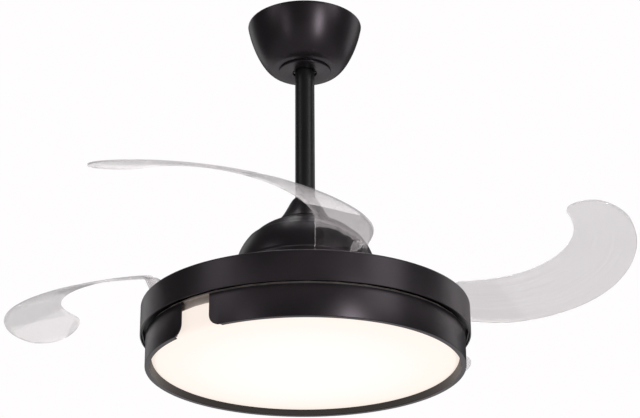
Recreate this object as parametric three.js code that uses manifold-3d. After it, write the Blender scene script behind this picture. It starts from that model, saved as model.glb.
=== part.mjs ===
// Ceiling fan with four clear blades that fold away over a round lamp drum.
//
// Millimetres, +Z up. The origin is on the fan's axis at the ceiling face of the hanger plate, and
// X and Y are level. The blades are drawn swung out, as they are while the fan turns. Heights below
// are measured upwards from the drum's bottom edge, and the whole fan is then hung under the ceiling.

import * as THREE from 'three';
import { mergeVertices } from 'three/addons/utils/BufferGeometryUtils.js';
import Module from 'manifold-3d';

const wasm = await Module();
wasm.setup();

// ---------------------------------------------------------------- driving dimensions

const CLEARANCE = 0.3;             // between pieces that touch
const RUNNING_GAP = 3;             // between pieces that turn past each other

const SUSPENSION_HEIGHT = 503;     // ceiling to the drum's bottom edge

// ceiling end
const CANOPY_RIM_RADIUS = 79;
const CANOPY_HEIGHT = 67.5;
const CANOPY_FLAT_RADIUS = 44;
const CANOPY_WALL = 1.5;
const CANOPY_HOLE_RADIUS = 17;     // lets the rod lean
const TRIM_RADIUS = 36;
const TRIM_HEIGHT = 3;
const TRIM_WALL = 1.2;
const HANGER_PLATE = 3;
const HANGER_WIDTH = 46;
const HANGER_REACH = 34;           // axis to the strap's leg
const HANGER_EAR = 20;             // how far the plate runs past each leg
const SLOT_LENGTH = 22;            // slots for the ceiling screws
const SLOT_RADIUS = 2.6;
const WIRE_HOLE_RADIUS = 6;
const SADDLE_LIFT = 10;            // canopy's floor to the saddle's underside
const SEAT_MOUTH_RADIUS = 21;
const SEAT_EASE = 0.9;             // play round the ball
const BALL_RADIUS = 26;
const BALL_LIFT = 18;              // saddle's underside to the ball's centre
const BALL_PIN_RADIUS = 3;

// rod and its coupling to the motor
const ROD_RADIUS = 13.35;          // three-quarter inch pipe
const ROD_BORE_RADIUS = 11;
const ROD_PAST_BALL = 21;
const YOKE_COLLAR_RADIUS = 18;
const YOKE_HEIGHT = 26.3;
const YOKE_FLANGE_RADIUS = 30;
const YOKE_FLANGE = 5.5;
const ROD_PIN_RADIUS = 3;
const ROD_PIN_LIFT = 17.3;         // above the yoke's foot
const CONE_BASE_RADIUS = 38;
const CONE_HEIGHT = 37;
const CONE_WALL = 1.2;

// motor cover and motor
const DOME_HEIGHT = 117.7;
const DOME_TOP_RADIUS = 39;
const DOME_SKIRT_RADIUS = 95;
const DOME_SKIRT = 52;             // height of the straight skirt
const DOME_WALL = 1.5;
const DOME_CREASE = 1.9;           // step where the pressed crown meets the skirt
const SHAFT_RADIUS = 10;
const SHAFT_BORE_RADIUS = 6;
const SHAFT_PAST_NUT = 4;
const SHAFT_NUT_HEIGHT = 5;
const SHAFT_NUT_ACROSS = 28;
const MOTOR_RADIUS = 76;
const MOTOR_HEIGHT = 42;
const MOTOR_WALL = 3;
const MAGNET_THICKNESS = 8;
const AIR_GAP = 1.2;
const STATOR_STACK = 14;
const COIL_BULGE = 6;
const BEARING_OUTER_RADIUS = 20;
const BEARING_HEIGHT = 9;
const MOTOR_FLANGE = 5.3;          // how far it runs past the carrier's raised middle

// turning blade carrier and the gears that swing the blades together
const CARRIER_PLATE = 2.5;
const CARRIER_GAP = 4.8;           // round the carrier, inside the drum
const PIVOT_INSET = 50.3;          // drum's face to a blade's pivot, before whole teeth
const PIVOT_AZIMUTH = 13.4;        // first pivot, degrees from +X
const BLADE_COUNT = 4;
const OPEN_ANGLE = 89.5;             // folded to swung out, degrees
const GEAR_MODULE = 3;
const HUB_TEETH = 22;              // of a whole hub gear, cut as a sector
const RING_WEB = 28.3;             // ring gear's pitch line to the carrier's raised middle
const GEAR_LIFT = 9;               // above the carrier's plate
const GEAR_HEIGHT = 5;
const TOOTH_BACKLASH = 0.5;
const RING_RIM = 7;
const GEAR_COVER = 0.5;            // from the gears' tops to what turns over them
const HUB_PLATE = 5;
const HUB_PLATE_RADIUS = 30;
const HUB_BOSS_RADIUS = 9;
const PIN_RADIUS = 4;
const PIN_PLAY = 0.5;              // running fit of a hub on its pin
const PIN_HEAD_RADIUS = 7.5;
const PIN_HEAD = 2;
const SLEEVE_RADIUS = 7;
const STOP_DISTANCE = 24;          // pivot to the rubber stop
const STOP_ANGLE = 60;
const STOP_RADIUS = 4;
const STOP_POST_RADIUS = 2;
const SPRING_RADIUS = 10;
const SPRING_WIRE = 1;
const SPRING_TURNS = 3;
const CLAMP_RADIUS = 19.5;
const CLAMP_PLATE = 1.2;
const SCREW_RADIUS = 2;

// blades, as they lie folded: bands of a cone round the fan's axis
const BLADE_THICKNESS = 2.2;
const BLADE_FLAT = 33;             // end of the flat root, from the pivot
const BLADE_JOIN = 50;             // where the root has become the band, from the pivot
const BLADE_SPAN = 142.3;          // pivot to tip, degrees about the fan's axis
const BLADE_INNER_REACH = 30;      // pivot to the band's inner edge
const BLADE_OUTER_REACH = 49.5;
const BLADE_TAPER = 6;             // how far the inner edge closes in towards the tip
const BLADE_TIP_BULGE = 5.8;
const BLADE_ROOT_RADIUS = 31;
const BLADE_INNER_HEIGHT = 126.8;
const BLADE_INNER_CLIMB = 17.9;
const BLADE_OUTER_HEIGHT = 91.8;
const BLADE_OUTER_CLIMB = 35;
const BLADE_CAMBER = 0.5;
const TIP_INNER_CORNER = 48.8;       // depth of the tip's rounding, inner edge
const TIP_OUTER_CORNER = 29.4;
const TIP_ROUNDING = 13.2;           // its length, degrees

// lamp drum
const DRUM_RADIUS = 215.3;
const UPPER_RING_HEIGHT = 40.1;
const RING_WALL = 1.5;
const UPPER_LIP = 8;
const PAN_LEDGE = 8;
const PAN_THICKNESS = 2;
const PAN_SKIRT = 12;
const RING_STEP = 7.5;             // how much smaller the lower ring is
const LOWER_RING_HEIGHT = 42.7;
const LOWER_LIP = 6.4;
const NOTCH_AZIMUTH = -130.8;
const NOTCH_WIDTH = 47;
const NOTCH_CORNER = 15;
const TRAY_INSET = 4.8;            // lower ring's face to the tray's skirt
const TRAY_THICKNESS = 2;
const TRAY_SKIRT = 11.5;
const DIFFUSER_INSET = 3.5;        // tray's skirt to the diffuser
const DIFFUSER_FACE = 5;
const DIFFUSER_WALL = 2;
const DIFFUSER_CORNER = 7;
const CATCH_COUNT = 3;
const CATCH_ANGLE = 14;            // width of a catch, degrees
const CATCH_THICKNESS = 1.5;
const BOARD_INSET = 13.5;          // diffuser's wall to the board
const BOARD_THICKNESS = 1.6;
const STANDOFF_CIRCLE = 140;
const STANDOFF_RADIUS = 6;
const STANDOFF_HEIGHT = 12;        // tray to pan
const STANDOFF_COUNT = 4;
const BOX_LENGTH = 90;
const BOX_START = 35;              // axis to a case's near side
const BOX_INSET = 22.7;            // its far side to the carrier's raised middle
const BOX_HEIGHT = 14;

// ---------------------------------------------------------------- sizes that follow

const UPPER_RING_BOTTOM = LOWER_RING_HEIGHT;
const UPPER_RING_TOP = UPPER_RING_BOTTOM + UPPER_RING_HEIGHT;
const LOWER_RING_RADIUS = DRUM_RADIUS - RING_STEP;
const TRAY_RADIUS = LOWER_RING_RADIUS - TRAY_INSET;
const TRAY_TOP = LOWER_RING_HEIGHT + CLEARANCE + TRAY_THICKNESS;
const TRAY_SKIRT_BOTTOM = TRAY_TOP - TRAY_SKIRT;
const DIFFUSER_RADIUS = TRAY_RADIUS - DIFFUSER_INSET;
const TAB_BOTTOM = TRAY_SKIRT_BOTTOM + CATCH_THICKNESS + CLEARANCE;
const DIFFUSER_TOP = TAB_BOTTOM + CATCH_THICKNESS + 0.2;
const BOARD_RADIUS = DIFFUSER_RADIUS - BOARD_INSET;
const PAN_FLOOR = TRAY_TOP + STANDOFF_HEIGHT;
const PAN_TOP = PAN_FLOOR + PAN_THICKNESS;
const PAN_SKIRT_RADIUS = DRUM_RADIUS - RING_WALL - CLEARANCE;

const CARRIER_UNDERSIDE = PAN_TOP + RUNNING_GAP;
const PLATE_TOP = CARRIER_UNDERSIDE + CARRIER_PLATE;
const CARRIER_RADIUS = DRUM_RADIUS - RING_WALL - PAN_LEDGE - CARRIER_GAP;
const GEAR_BOTTOM = PLATE_TOP + GEAR_LIFT;
const GEAR_TOP = GEAR_BOTTOM + GEAR_HEIGHT;
const PLATEAU_TOP = GEAR_TOP + GEAR_COVER;
const HUB_PLATE_BOTTOM = GEAR_TOP + GEAR_COVER;
const HUB_PITCH = (GEAR_MODULE * HUB_TEETH) / 2;
const RING_TEETH = BLADE_COUNT *
  Math.round(((DRUM_RADIUS - PIVOT_INSET - HUB_PITCH) * 2) / GEAR_MODULE / BLADE_COUNT);
const RING_PITCH = (GEAR_MODULE * RING_TEETH) / 2;
const PIVOT_RADIUS = RING_PITCH + HUB_PITCH;
const PLATEAU_RADIUS = RING_PITCH - RING_WEB;
const MOTOR_FLANGE_RADIUS = PLATEAU_RADIUS + MOTOR_FLANGE;
const BLADE_INNER_RADIUS = PIVOT_RADIUS - BLADE_INNER_REACH;
const BLADE_OUTER_RADIUS = PIVOT_RADIUS + BLADE_OUTER_REACH;
const SLEEVE_TOP = GEAR_BOTTOM - CLEARANCE;
const HUB_TOP = HUB_PLATE_BOTTOM + HUB_PLATE;
const LUG_BOTTOM = HUB_TOP + CLEARANCE;
const LUG_MIDDLE = LUG_BOTTOM + BLADE_THICKNESS / 2;
const LUG_TOP = LUG_BOTTOM + BLADE_THICKNESS;
const CLAMP_TOP = LUG_TOP + CLEARANCE + CLAMP_PLATE;
const PIN_HEAD_BOTTOM = LUG_TOP + 2 * CLEARANCE;

const MOTOR_BOTTOM = PLATEAU_TOP + CLEARANCE;
const MOTOR_TOP = MOTOR_BOTTOM + MOTOR_HEIGHT;
const DOME_SKIRT_BOTTOM = MOTOR_BOTTOM + MOTOR_WALL + RUNNING_GAP + 0.7;
const DOME_SHOULDER = DOME_SKIRT_BOTTOM + DOME_SKIRT;
const DOME_TOP = DOME_SKIRT_BOTTOM + DOME_HEIGHT;
const YOKE_BOTTOM = DOME_TOP - DOME_WALL - CLEARANCE - YOKE_FLANGE;
const YOKE_TOP = YOKE_BOTTOM + YOKE_HEIGHT;
const SHAFT_TOP = YOKE_BOTTOM + YOKE_FLANGE - CLEARANCE;
const SHAFT_BOTTOM = PAN_FLOOR - SHAFT_NUT_HEIGHT - SHAFT_PAST_NUT;
const ROD_BOTTOM = YOKE_BOTTOM + YOKE_FLANGE + 0.8;
const ROD_PIN_HEIGHT = YOKE_BOTTOM + ROD_PIN_LIFT;
const CONE_TOP = DOME_TOP + CONE_HEIGHT;

const CEILING = SUSPENSION_HEIGHT;
const CANOPY_BOTTOM = CEILING - CANOPY_HEIGHT;
const TRIM_SCREW_CIRCLE = (CANOPY_HOLE_RADIUS + TRIM_RADIUS) / 2;
const SEAT_HEIGHT = CANOPY_BOTTOM + SADDLE_LIFT;
const BALL_CENTRE = SEAT_HEIGHT + BALL_LIFT;
const ROD_TOP = BALL_CENTRE + ROD_PAST_BALL;

// ---------------------------------------------------------------- helpers

const FINE = 34;                   // sides of the drum's rings
const ROUND = 26;                  // of the canopy and motor cover
const MEDIUM = 20;                 // of the motor, rod and ball
const COARSE = 12;                 // of shafts and pins
const SMALL = 8;                   // of screws and their holes
const APOTHEM = Math.cos(Math.PI / FINE);   // flat of a ring's side over its corner
const radians = THREE.MathUtils.degToRad;
const { smoothstep, lerp } = THREE.MathUtils;

/** A closed, merged, outward-facing solid made from any closed three.js geometry. */
function solid(geometry, matrix = new THREE.Matrix4()) {
  const plain = geometry.clone().applyMatrix4(matrix);
  plain.deleteAttribute('normal');
  plain.deleteAttribute('uv');
  const merged = mergeVertices(plain, 1e-4);
  const position = merged.getAttribute('position').array;
  const index = merged.index.array;
  const corners = [];
  for (let i = 0; i < index.length; i += 3) {
    const [a, b, c] = [index[i], index[i + 1], index[i + 2]];
    if (a !== b && b !== c && c !== a) corners.push(a, b, c);
  }
  const point = (i) => new THREE.Vector3().fromArray(position, 3 * i);
  let volume = 0;
  for (let i = 0; i < corners.length; i += 3) {
    volume += point(corners[i]).dot(point(corners[i + 1]).cross(point(corners[i + 2])));
  }
  if (volume < 0) corners.reverse();
  return new wasm.Manifold(new wasm.Mesh({
    numProp: 3,
    vertProperties: Float32Array.from(position),
    triVerts: Uint32Array.from(corners),
  }));
}

/** The triangles of a solid, as a geometry. */
function geometryOf(body) {
  const mesh = body.getMesh();
  const geometry = new THREE.BufferGeometry();
  geometry.setAttribute('position', new THREE.BufferAttribute(mesh.vertProperties, 3));
  geometry.setIndex(new THREE.BufferAttribute(mesh.triVerts, 1));
  geometry.computeVertexNormals();
  return geometry;
}

const joined = (bodies) => bodies.reduce((whole, body) => whole.add(body));
const cut = (body, tools) => tools.reduce((left, tool) => left.subtract(tool), body);

/** A solid of revolution about Z from [radius, height] points; the outline closes on itself. */
function turned(outline, segments = MEDIUM) {
  const points = [...outline, outline[0]].map(([r, z]) => new THREE.Vector2(Math.max(r, 0), z));
  const geometry = new THREE.LatheGeometry(points, segments);
  return solid(geometry, new THREE.Matrix4().makeRotationX(Math.PI / 2));
}

/** A round bar along Z. */
const bar = (radius, low, high, segments = COARSE) =>
  turned([[0, low], [radius, low], [radius, high], [0, high]], segments);

/** A tube along Z. */
const tube = (inner, outer, low, high, segments = MEDIUM) =>
  turned([[inner, low], [outer, low], [outer, high], [inner, high]], segments);

/** A flat shape raised from one height to another. */
function raised(shape, low, high, curveSegments = 12) {
  const options = { depth: high - low, bevelEnabled: false, curveSegments };
  const geometry = new THREE.ExtrudeGeometry(shape, options);
  return solid(geometry, new THREE.Matrix4().makeTranslation(0, 0, low));
}

/** A box given by its lowest and highest corners. */
function block(low, high) {
  const size = high.map((value, i) => value - low[i]);
  const middle = high.map((value, i) => (value + low[i]) / 2);
  return solid(new THREE.BoxGeometry(...size), new THREE.Matrix4().makeTranslation(...middle));
}

/** The same body moved, then turned about Z. */
const placed = (body, [x, y, z] = [0, 0, 0], degrees = 0) =>
  body.translate([x, y, z]).rotate([0, 0, degrees]);

/** Copies of a body spread evenly round Z. */
const spread = (body, count, start = 0) =>
  Array.from({ length: count }, (_, i) => body.rotate([0, 0, start + (360 * i) / count]));

/** Points along a curve, as [x, y] pairs. */
const along = (curve, steps) => curve.getPoints(steps).map((p) => [p.x, p.y]);

/** A cubic curve through [radius, height] control points. */
const bend = (...controls) =>
  new THREE.CubicBezierCurve(...controls.map(([x, y]) => new THREE.Vector2(x, y)));

/** The wall of a pressed shell: an outer line and the same line moved inwards. */
function pressed(outer, wall, segments) {
  const inner = outer.map(([r, z], i) => {
    const [r0, z0] = outer[Math.max(i - 1, 0)];
    const [r1, z1] = outer[Math.min(i + 1, outer.length - 1)];
    const length = Math.hypot(r1 - r0, z1 - z0);
    return [r - (wall * (z1 - z0)) / length, z + (wall * (r1 - r0)) / length];
  });
  return turned([...outer, ...inner.reverse()], segments);
}

const finishes = {
  graphite: { color: 0x2b272a, roughness: 0.48, metalness: 0.35 },
  steel: { color: 0xb4b6b8, roughness: 0.35, metalness: 1 },
  aluminium: { color: 0xc6c8ca, roughness: 0.45, metalness: 1 },
  clear: { color: 0xdcd9dc, roughness: 0.08, metalness: 0, transparent: true, opacity: 0.35 },
  opal: { color: 0xfff7ec, roughness: 0.4, metalness: 0, emissive: 0xfff2e0, emissiveIntensity: 0.8 },
  nylon: { color: 0x222224, roughness: 0.55, metalness: 0 },
  acetal: { color: 0xe6e4dc, roughness: 0.45, metalness: 0 },
  rubber: { color: 0x1a1a1a, roughness: 0.9, metalness: 0 },
  copper: { color: 0xb06a3c, roughness: 0.4, metalness: 0.9 },
  magnet: { color: 0x55565a, roughness: 0.6, metalness: 0.6 },
  board: { color: 0xf2f2ee, roughness: 0.5, metalness: 0 },
  casing: { color: 0xe8e8e6, roughness: 0.6, metalness: 0 },
};

/** A named mesh in one of the finishes. */
function piece(name, body, finish) {
  const mesh = new THREE.Mesh(geometryOf(body), new THREE.MeshStandardMaterial(finishes[finish]));
  mesh.name = name;
  return mesh;
}

// ---------------------------------------------------------------- ceiling end

/** Strap bent from plate: two ears on the ceiling, two legs, and a saddle with a round seat. */
function hangerBracket() {
  const half = HANGER_WIDTH / 2;
  const ear = HANGER_REACH + HANGER_EAR;
  const top = block([-ear, -half, CEILING - HANGER_PLATE], [ear, half, CEILING]);
  const legs = [-1, 1].map((side) => {
    const [inner, outer] = [side * (HANGER_REACH - HANGER_PLATE), side * HANGER_REACH];
    return block(
      [Math.min(inner, outer), -half, SEAT_HEIGHT],
      [Math.max(inner, outer), half, CEILING - HANGER_PLATE],
    );
  });
  const saddleTop = SEAT_HEIGHT + 2 * HANGER_PLATE;
  const saddle = block([-HANGER_REACH, -half, SEAT_HEIGHT], [HANGER_REACH, half, saddleTop]);
  const ballSpace = solid(
    new THREE.SphereGeometry(BALL_RADIUS + SEAT_EASE, MEDIUM, COARSE).rotateX(Math.PI / 2),
    new THREE.Matrix4().makeTranslation(0, 0, BALL_CENTRE),
  );
  const slots = [-1, 1].map((side) => {
    const slot = new THREE.Shape();
    const [x, reach] = [side * (HANGER_REACH + HANGER_EAR / 2), SLOT_LENGTH / 2 - SLOT_RADIUS];
    slot.absarc(x, reach, SLOT_RADIUS, 0, Math.PI);
    slot.absarc(x, -reach, SLOT_RADIUS, Math.PI, 2 * Math.PI);
    return raised(slot, CEILING - HANGER_PLATE - 1, CEILING + 1, 3);
  });
  const wireWays = spread(bar(WIRE_HOLE_RADIUS, CEILING - HANGER_PLATE - 1, CEILING + 1)
    .translate([HANGER_REACH / 2, 0, 0]), 2);
  const rodWay = bar(SEAT_MOUTH_RADIUS, SEAT_HEIGHT - 1, saddleTop + 1);
  const screwWays = spread(bar(SCREW_RADIUS + CLEARANCE, SEAT_HEIGHT - 1, saddleTop + 1, SMALL)
    .translate([TRIM_SCREW_CIRCLE, 0, 0]), 2);
  return cut(joined([top, ...legs, saddle]), [ballSpace, rodWay, ...wireWays, ...slots, ...screwWays]);
}

/** Spun steel bell that hides the hanger. */
function canopy() {
  const wallLine = bend(
    [CANOPY_FLAT_RADIUS, CANOPY_BOTTOM],
    [CANOPY_RIM_RADIUS * 0.715, CANOPY_BOTTOM + 3],
    [CANOPY_RIM_RADIUS * 0.926, CEILING - CANOPY_HEIGHT * 0.473],
    [CANOPY_RIM_RADIUS, CEILING - CLEARANCE],
  );
  const bell = pressed([[CANOPY_HOLE_RADIUS, CANOPY_BOTTOM], ...along(wallLine, 6)], CANOPY_WALL, ROUND);
  const screwWays = spread(bar(SCREW_RADIUS + CLEARANCE, CANOPY_BOTTOM - 1, CANOPY_BOTTOM + 9, SMALL)
    .translate([TRIM_SCREW_CIRCLE, 0, 0]), 2);
  return cut(bell, screwWays);
}

/** Shallow cup under the canopy that covers its screws. */
function canopyTrim() {
  const [low, high] = [CANOPY_BOTTOM - TRIM_HEIGHT, CANOPY_BOTTOM - CLEARANCE];
  return turned([
    [CANOPY_HOLE_RADIUS, low], [TRIM_RADIUS - 1, low], [TRIM_RADIUS, low + 1], [TRIM_RADIUS, high],
    [TRIM_RADIUS - TRIM_WALL, high], [TRIM_RADIUS - TRIM_WALL, low + TRIM_WALL],
    [CANOPY_HOLE_RADIUS, low + TRIM_WALL],
  ], MEDIUM);
}

/** Low-headed screw from below through the canopy into the saddle. */
function canopyScrew() {
  const head = CANOPY_BOTTOM - CLEARANCE;
  const tip = SEAT_HEIGHT + 2 * HANGER_PLATE + 1;
  return turned([
    [0, head - 1.1], [3.2, head - 1.1], [3.8, head - 0.5], [3.8, head],
    [SCREW_RADIUS, head], [SCREW_RADIUS, tip - 1], [SCREW_RADIUS * 0.5, tip], [0, tip],
  ], SMALL);
}

/** Ball that sits in the saddle and lets the rod hang plumb. */
function hangerBall() {
  const ball = solid(
    new THREE.SphereGeometry(BALL_RADIUS, MEDIUM, COARSE).rotateX(Math.PI / 2),
    new THREE.Matrix4().makeTranslation(0, 0, BALL_CENTRE),
  );
  const rodWay = bar(ROD_RADIUS + CLEARANCE, BALL_CENTRE - 40, BALL_CENTRE + 40, MEDIUM);
  const crown = block([-40, -40, BALL_CENTRE + BALL_RADIUS * 0.62], [40, 40, BALL_CENTRE + 40]);
  const pinWay = bar(BALL_PIN_RADIUS + CLEARANCE, -40, 40, SMALL).rotate([0, 90, 0])
    .translate([0, 0, BALL_CENTRE]);
  return cut(ball, [rodWay, crown, pinWay]);
}

const ballPin = () => bar(BALL_PIN_RADIUS, -BALL_RADIUS + 1.5, BALL_RADIUS - 1.5, SMALL)
  .rotate([0, 90, 0]).translate([0, 0, BALL_CENTRE]);

/** Steel pipe with a cross hole for the pin at each end. */
function downrod() {
  const pipe = tube(ROD_BORE_RADIUS, ROD_RADIUS, ROD_BOTTOM, ROD_TOP);
  const ballHole = bar(BALL_PIN_RADIUS + CLEARANCE, -20, 20, SMALL).rotate([0, 90, 0])
    .translate([0, 0, BALL_CENTRE]);
  const yokeHole = bar(ROD_PIN_RADIUS + CLEARANCE, -20, 20, SMALL).rotate([90, 0, 0])
    .translate([0, 0, ROD_PIN_HEIGHT]);
  return cut(pipe, [ballHole, yokeHole]);
}

// ---------------------------------------------------------------- rod coupling, motor cover and motor

/** Cast coupling: a collar pinned round the rod on a flange that carries the motor cover. */
function yoke() {
  const collar = tube(ROD_RADIUS + CLEARANCE, YOKE_COLLAR_RADIUS, YOKE_BOTTOM + YOKE_FLANGE - 1, YOKE_TOP);
  const flange = tube(SHAFT_RADIUS + CLEARANCE, YOKE_FLANGE_RADIUS, YOKE_BOTTOM, YOKE_BOTTOM + YOKE_FLANGE);
  const pinWay = bar(ROD_PIN_RADIUS + CLEARANCE, -30, 30, SMALL).rotate([90, 0, 0])
    .translate([0, 0, ROD_PIN_HEIGHT]);
  return cut(collar.add(flange), [pinWay]);
}

const rodPin = () => bar(ROD_PIN_RADIUS, -YOKE_COLLAR_RADIUS - 1, YOKE_COLLAR_RADIUS + 1, SMALL)
  .rotate([90, 0, 0]).translate([0, 0, ROD_PIN_HEIGHT]);

/** Flared cover that slides down the rod over the coupling. */
function couplingCover() {
  const low = DOME_TOP + CLEARANCE;
  const mouth = ROD_RADIUS + CLEARANCE;
  const flare = bend(
    [CONE_BASE_RADIUS, low + 1.5],
    [CONE_BASE_RADIUS - 13, low + 15],
    [mouth + 8.5, CONE_TOP - 6],
    [mouth + CONE_WALL, CONE_TOP],
  );
  const outer = [[CONE_BASE_RADIUS, low], ...along(flare, 4)];
  const inner = outer.map(([r, z]) => [r - CONE_WALL, z]).reverse();
  return turned([...outer, ...inner], MEDIUM);
}

/** Pressed motor cover: straight skirt, rounded crown with a crease, and a flat seat on top. */
function motorCover() {
  const crown = along(bend(
    [DOME_SKIRT_RADIUS - 1.5, DOME_SHOULDER],
    [DOME_SKIRT_RADIUS - 4, DOME_SHOULDER + 32],
    [DOME_TOP_RADIUS * 1.67, DOME_TOP - 6.2],
    [DOME_TOP_RADIUS, DOME_TOP - 1],
  ), 6);
  const crease = crown.length / 2 | 0;
  const stepped = crown.map(([r, z], i) => (i < crease ? [r, z] : [r - DOME_CREASE, z]));
  return pressed([
    [DOME_SKIRT_RADIUS, DOME_SKIRT_BOTTOM], ...stepped,
    [DOME_TOP_RADIUS - 3, DOME_TOP], [YOKE_COLLAR_RADIUS + CLEARANCE, DOME_TOP],
  ], DOME_WALL, ROUND);
}

/** Hollow shaft that carries the lamp drum and the wires past the turning motor. */
const motorShaft = () => tube(SHAFT_BORE_RADIUS, SHAFT_RADIUS, SHAFT_BOTTOM, SHAFT_TOP, COARSE);

/** Wound stator: a laminated stack with the coils bulging above and below. */
function stator() {
  const radius = MOTOR_RADIUS - MOTOR_WALL - MAGNET_THICKNESS - AIR_GAP;
  const middle = (MOTOR_BOTTOM + MOTOR_TOP) / 2;
  const [low, high] = [middle - STATOR_STACK / 2, middle + STATOR_STACK / 2];
  const [near, far] = [BEARING_OUTER_RADIUS + MOTOR_WALL + RUNNING_GAP, radius - 7];
  return turned([
    [SHAFT_RADIUS + CLEARANCE, low], [near, low], [near + 3, low - COIL_BULGE], [far - 3, low - COIL_BULGE],
    [far, low], [radius, low], [radius, high], [far, high], [far - 3, high + COIL_BULGE],
    [near + 3, high + COIL_BULGE], [near, high], [SHAFT_RADIUS + CLEARANCE, high],
  ], MEDIUM);
}

/** Sealed ball bearing, whose bore turns clear of the shaft's corners. */
const bearing = (low) => tube(
  SHAFT_RADIUS / Math.cos(Math.PI / COARSE) + CLEARANCE, BEARING_OUTER_RADIUS,
  low, low + BEARING_HEIGHT, COARSE,
);

/** Lower half of the turning motor case, with the flange that bolts to the blade carrier. */
function motorCaseLower() {
  const seat = BEARING_OUTER_RADIUS + CLEARANCE;
  const floor = MOTOR_BOTTOM + MOTOR_WALL;
  return turned([
    [SHAFT_RADIUS + 2, MOTOR_BOTTOM], [MOTOR_FLANGE_RADIUS, MOTOR_BOTTOM], [MOTOR_FLANGE_RADIUS, floor],
    [MOTOR_RADIUS, floor], [MOTOR_RADIUS, MOTOR_TOP - MOTOR_WALL - CLEARANCE],
    [MOTOR_RADIUS - MOTOR_WALL, MOTOR_TOP - MOTOR_WALL - CLEARANCE], [MOTOR_RADIUS - MOTOR_WALL, floor],
    [seat + MOTOR_WALL, floor], [seat + MOTOR_WALL, floor + BEARING_HEIGHT - 2],
    [seat, floor + BEARING_HEIGHT - 2], [seat, floor - 1], [SHAFT_RADIUS + 2, floor - 1],
  ], MEDIUM);
}

/** Upper half of the turning motor case. */
function motorCaseUpper() {
  const seat = BEARING_OUTER_RADIUS + CLEARANCE;
  const ceiling = MOTOR_TOP - MOTOR_WALL;
  return turned([
    [SHAFT_RADIUS + 2, MOTOR_TOP - 1], [seat, MOTOR_TOP - 1], [seat, ceiling - BEARING_HEIGHT + 2],
    [seat + MOTOR_WALL, ceiling - BEARING_HEIGHT + 2], [seat + MOTOR_WALL, ceiling],
    [MOTOR_RADIUS, ceiling], [MOTOR_RADIUS, MOTOR_TOP - 1], [MOTOR_RADIUS - 1, MOTOR_TOP],
    [SHAFT_RADIUS + 2, MOTOR_TOP],
  ], MEDIUM);
}

/** Ring of magnets inside the motor case. */
function magnetRing() {
  const outer = MOTOR_RADIUS - MOTOR_WALL - CLEARANCE;
  const middle = (MOTOR_BOTTOM + MOTOR_TOP) / 2;
  const half = STATOR_STACK / 2 + 2;
  return tube(outer - MAGNET_THICKNESS + 2 * CLEARANCE, outer, middle - half, middle + half);
}

// ---------------------------------------------------------------- blade carrier and gears

const GEAR_TURN = OPEN_ANGLE * (HUB_TEETH / RING_TEETH);
const STOP_PLACE = [
  STOP_DISTANCE * Math.cos(radians(STOP_ANGLE)),
  STOP_DISTANCE * Math.sin(radians(STOP_ANGLE)),
  0,
];
const PIVOTS = Array.from({ length: BLADE_COUNT }, (_, i) => PIVOT_AZIMUTH + (360 * i) / BLADE_COUNT);

/** Pressed steel carrier: a raised middle that bolts to the motor, and a rim that holds the pivots. */
function bladeCarrier() {
  const shell = turned([
    [SHAFT_RADIUS + 15, PLATEAU_TOP - CARRIER_PLATE], [SHAFT_RADIUS + 15, PLATEAU_TOP],
    [PLATEAU_RADIUS - 1, PLATEAU_TOP], [PLATEAU_RADIUS, PLATEAU_TOP - 1], [PLATEAU_RADIUS, PLATE_TOP],
    [CARRIER_RADIUS, PLATE_TOP], [CARRIER_RADIUS, CARRIER_UNDERSIDE],
    [PLATEAU_RADIUS - CARRIER_PLATE, CARRIER_UNDERSIDE],
    [PLATEAU_RADIUS - CARRIER_PLATE, PLATEAU_TOP - CARRIER_PLATE],
  ], FINE);
  const sleeve = bar(SLEEVE_RADIUS, CARRIER_UNDERSIDE, SLEEVE_TOP, COARSE);
  const peg = bar(2, PLATE_TOP - 1, PLATE_TOP + 4, 6).translate([0, -SPRING_RADIUS - 8, 0]);
  const post = bar(STOP_POST_RADIUS, PLATE_TOP - 1, SLEEVE_TOP - 2, 6).translate(STOP_PLACE);
  const pinWay = bar(PIN_RADIUS + CLEARANCE, CARRIER_UNDERSIDE - 1, SLEEVE_TOP + 1, SMALL);
  const added = PIVOTS.flatMap((azimuth) =>
    [sleeve, peg, post].map((body) => placed(body, [PIVOT_RADIUS, 0, 0], azimuth)));
  const removed = PIVOTS.map((azimuth) => placed(pinWay, [PIVOT_RADIUS, 0, 0], azimuth));
  return cut(joined([shell, ...added]), removed);
}

/** Outline points of one gear tooth centred on an angle, from one root over the tip to the other. */
function tooth(pitch, teeth, centre) {
  const pressure = radians(20);
  const [tip, root] = [pitch + 0.8 * GEAR_MODULE, pitch - 1.2 * GEAR_MODULE];
  const half = (Math.PI * GEAR_MODULE) / 4 - TOOTH_BACKLASH / 2;
  const flank = (radius) => (half - (radius - pitch) * Math.tan(pressure)) / pitch;
  const spot = (radius, angle) => [radius * Math.cos(angle), radius * Math.sin(angle)];
  const middle = radians(centre);
  return [
    spot(root, middle - flank(root)), spot(tip, middle - flank(tip)),
    spot(tip, middle + flank(tip)), spot(root, middle + flank(root)),
  ];
}

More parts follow.
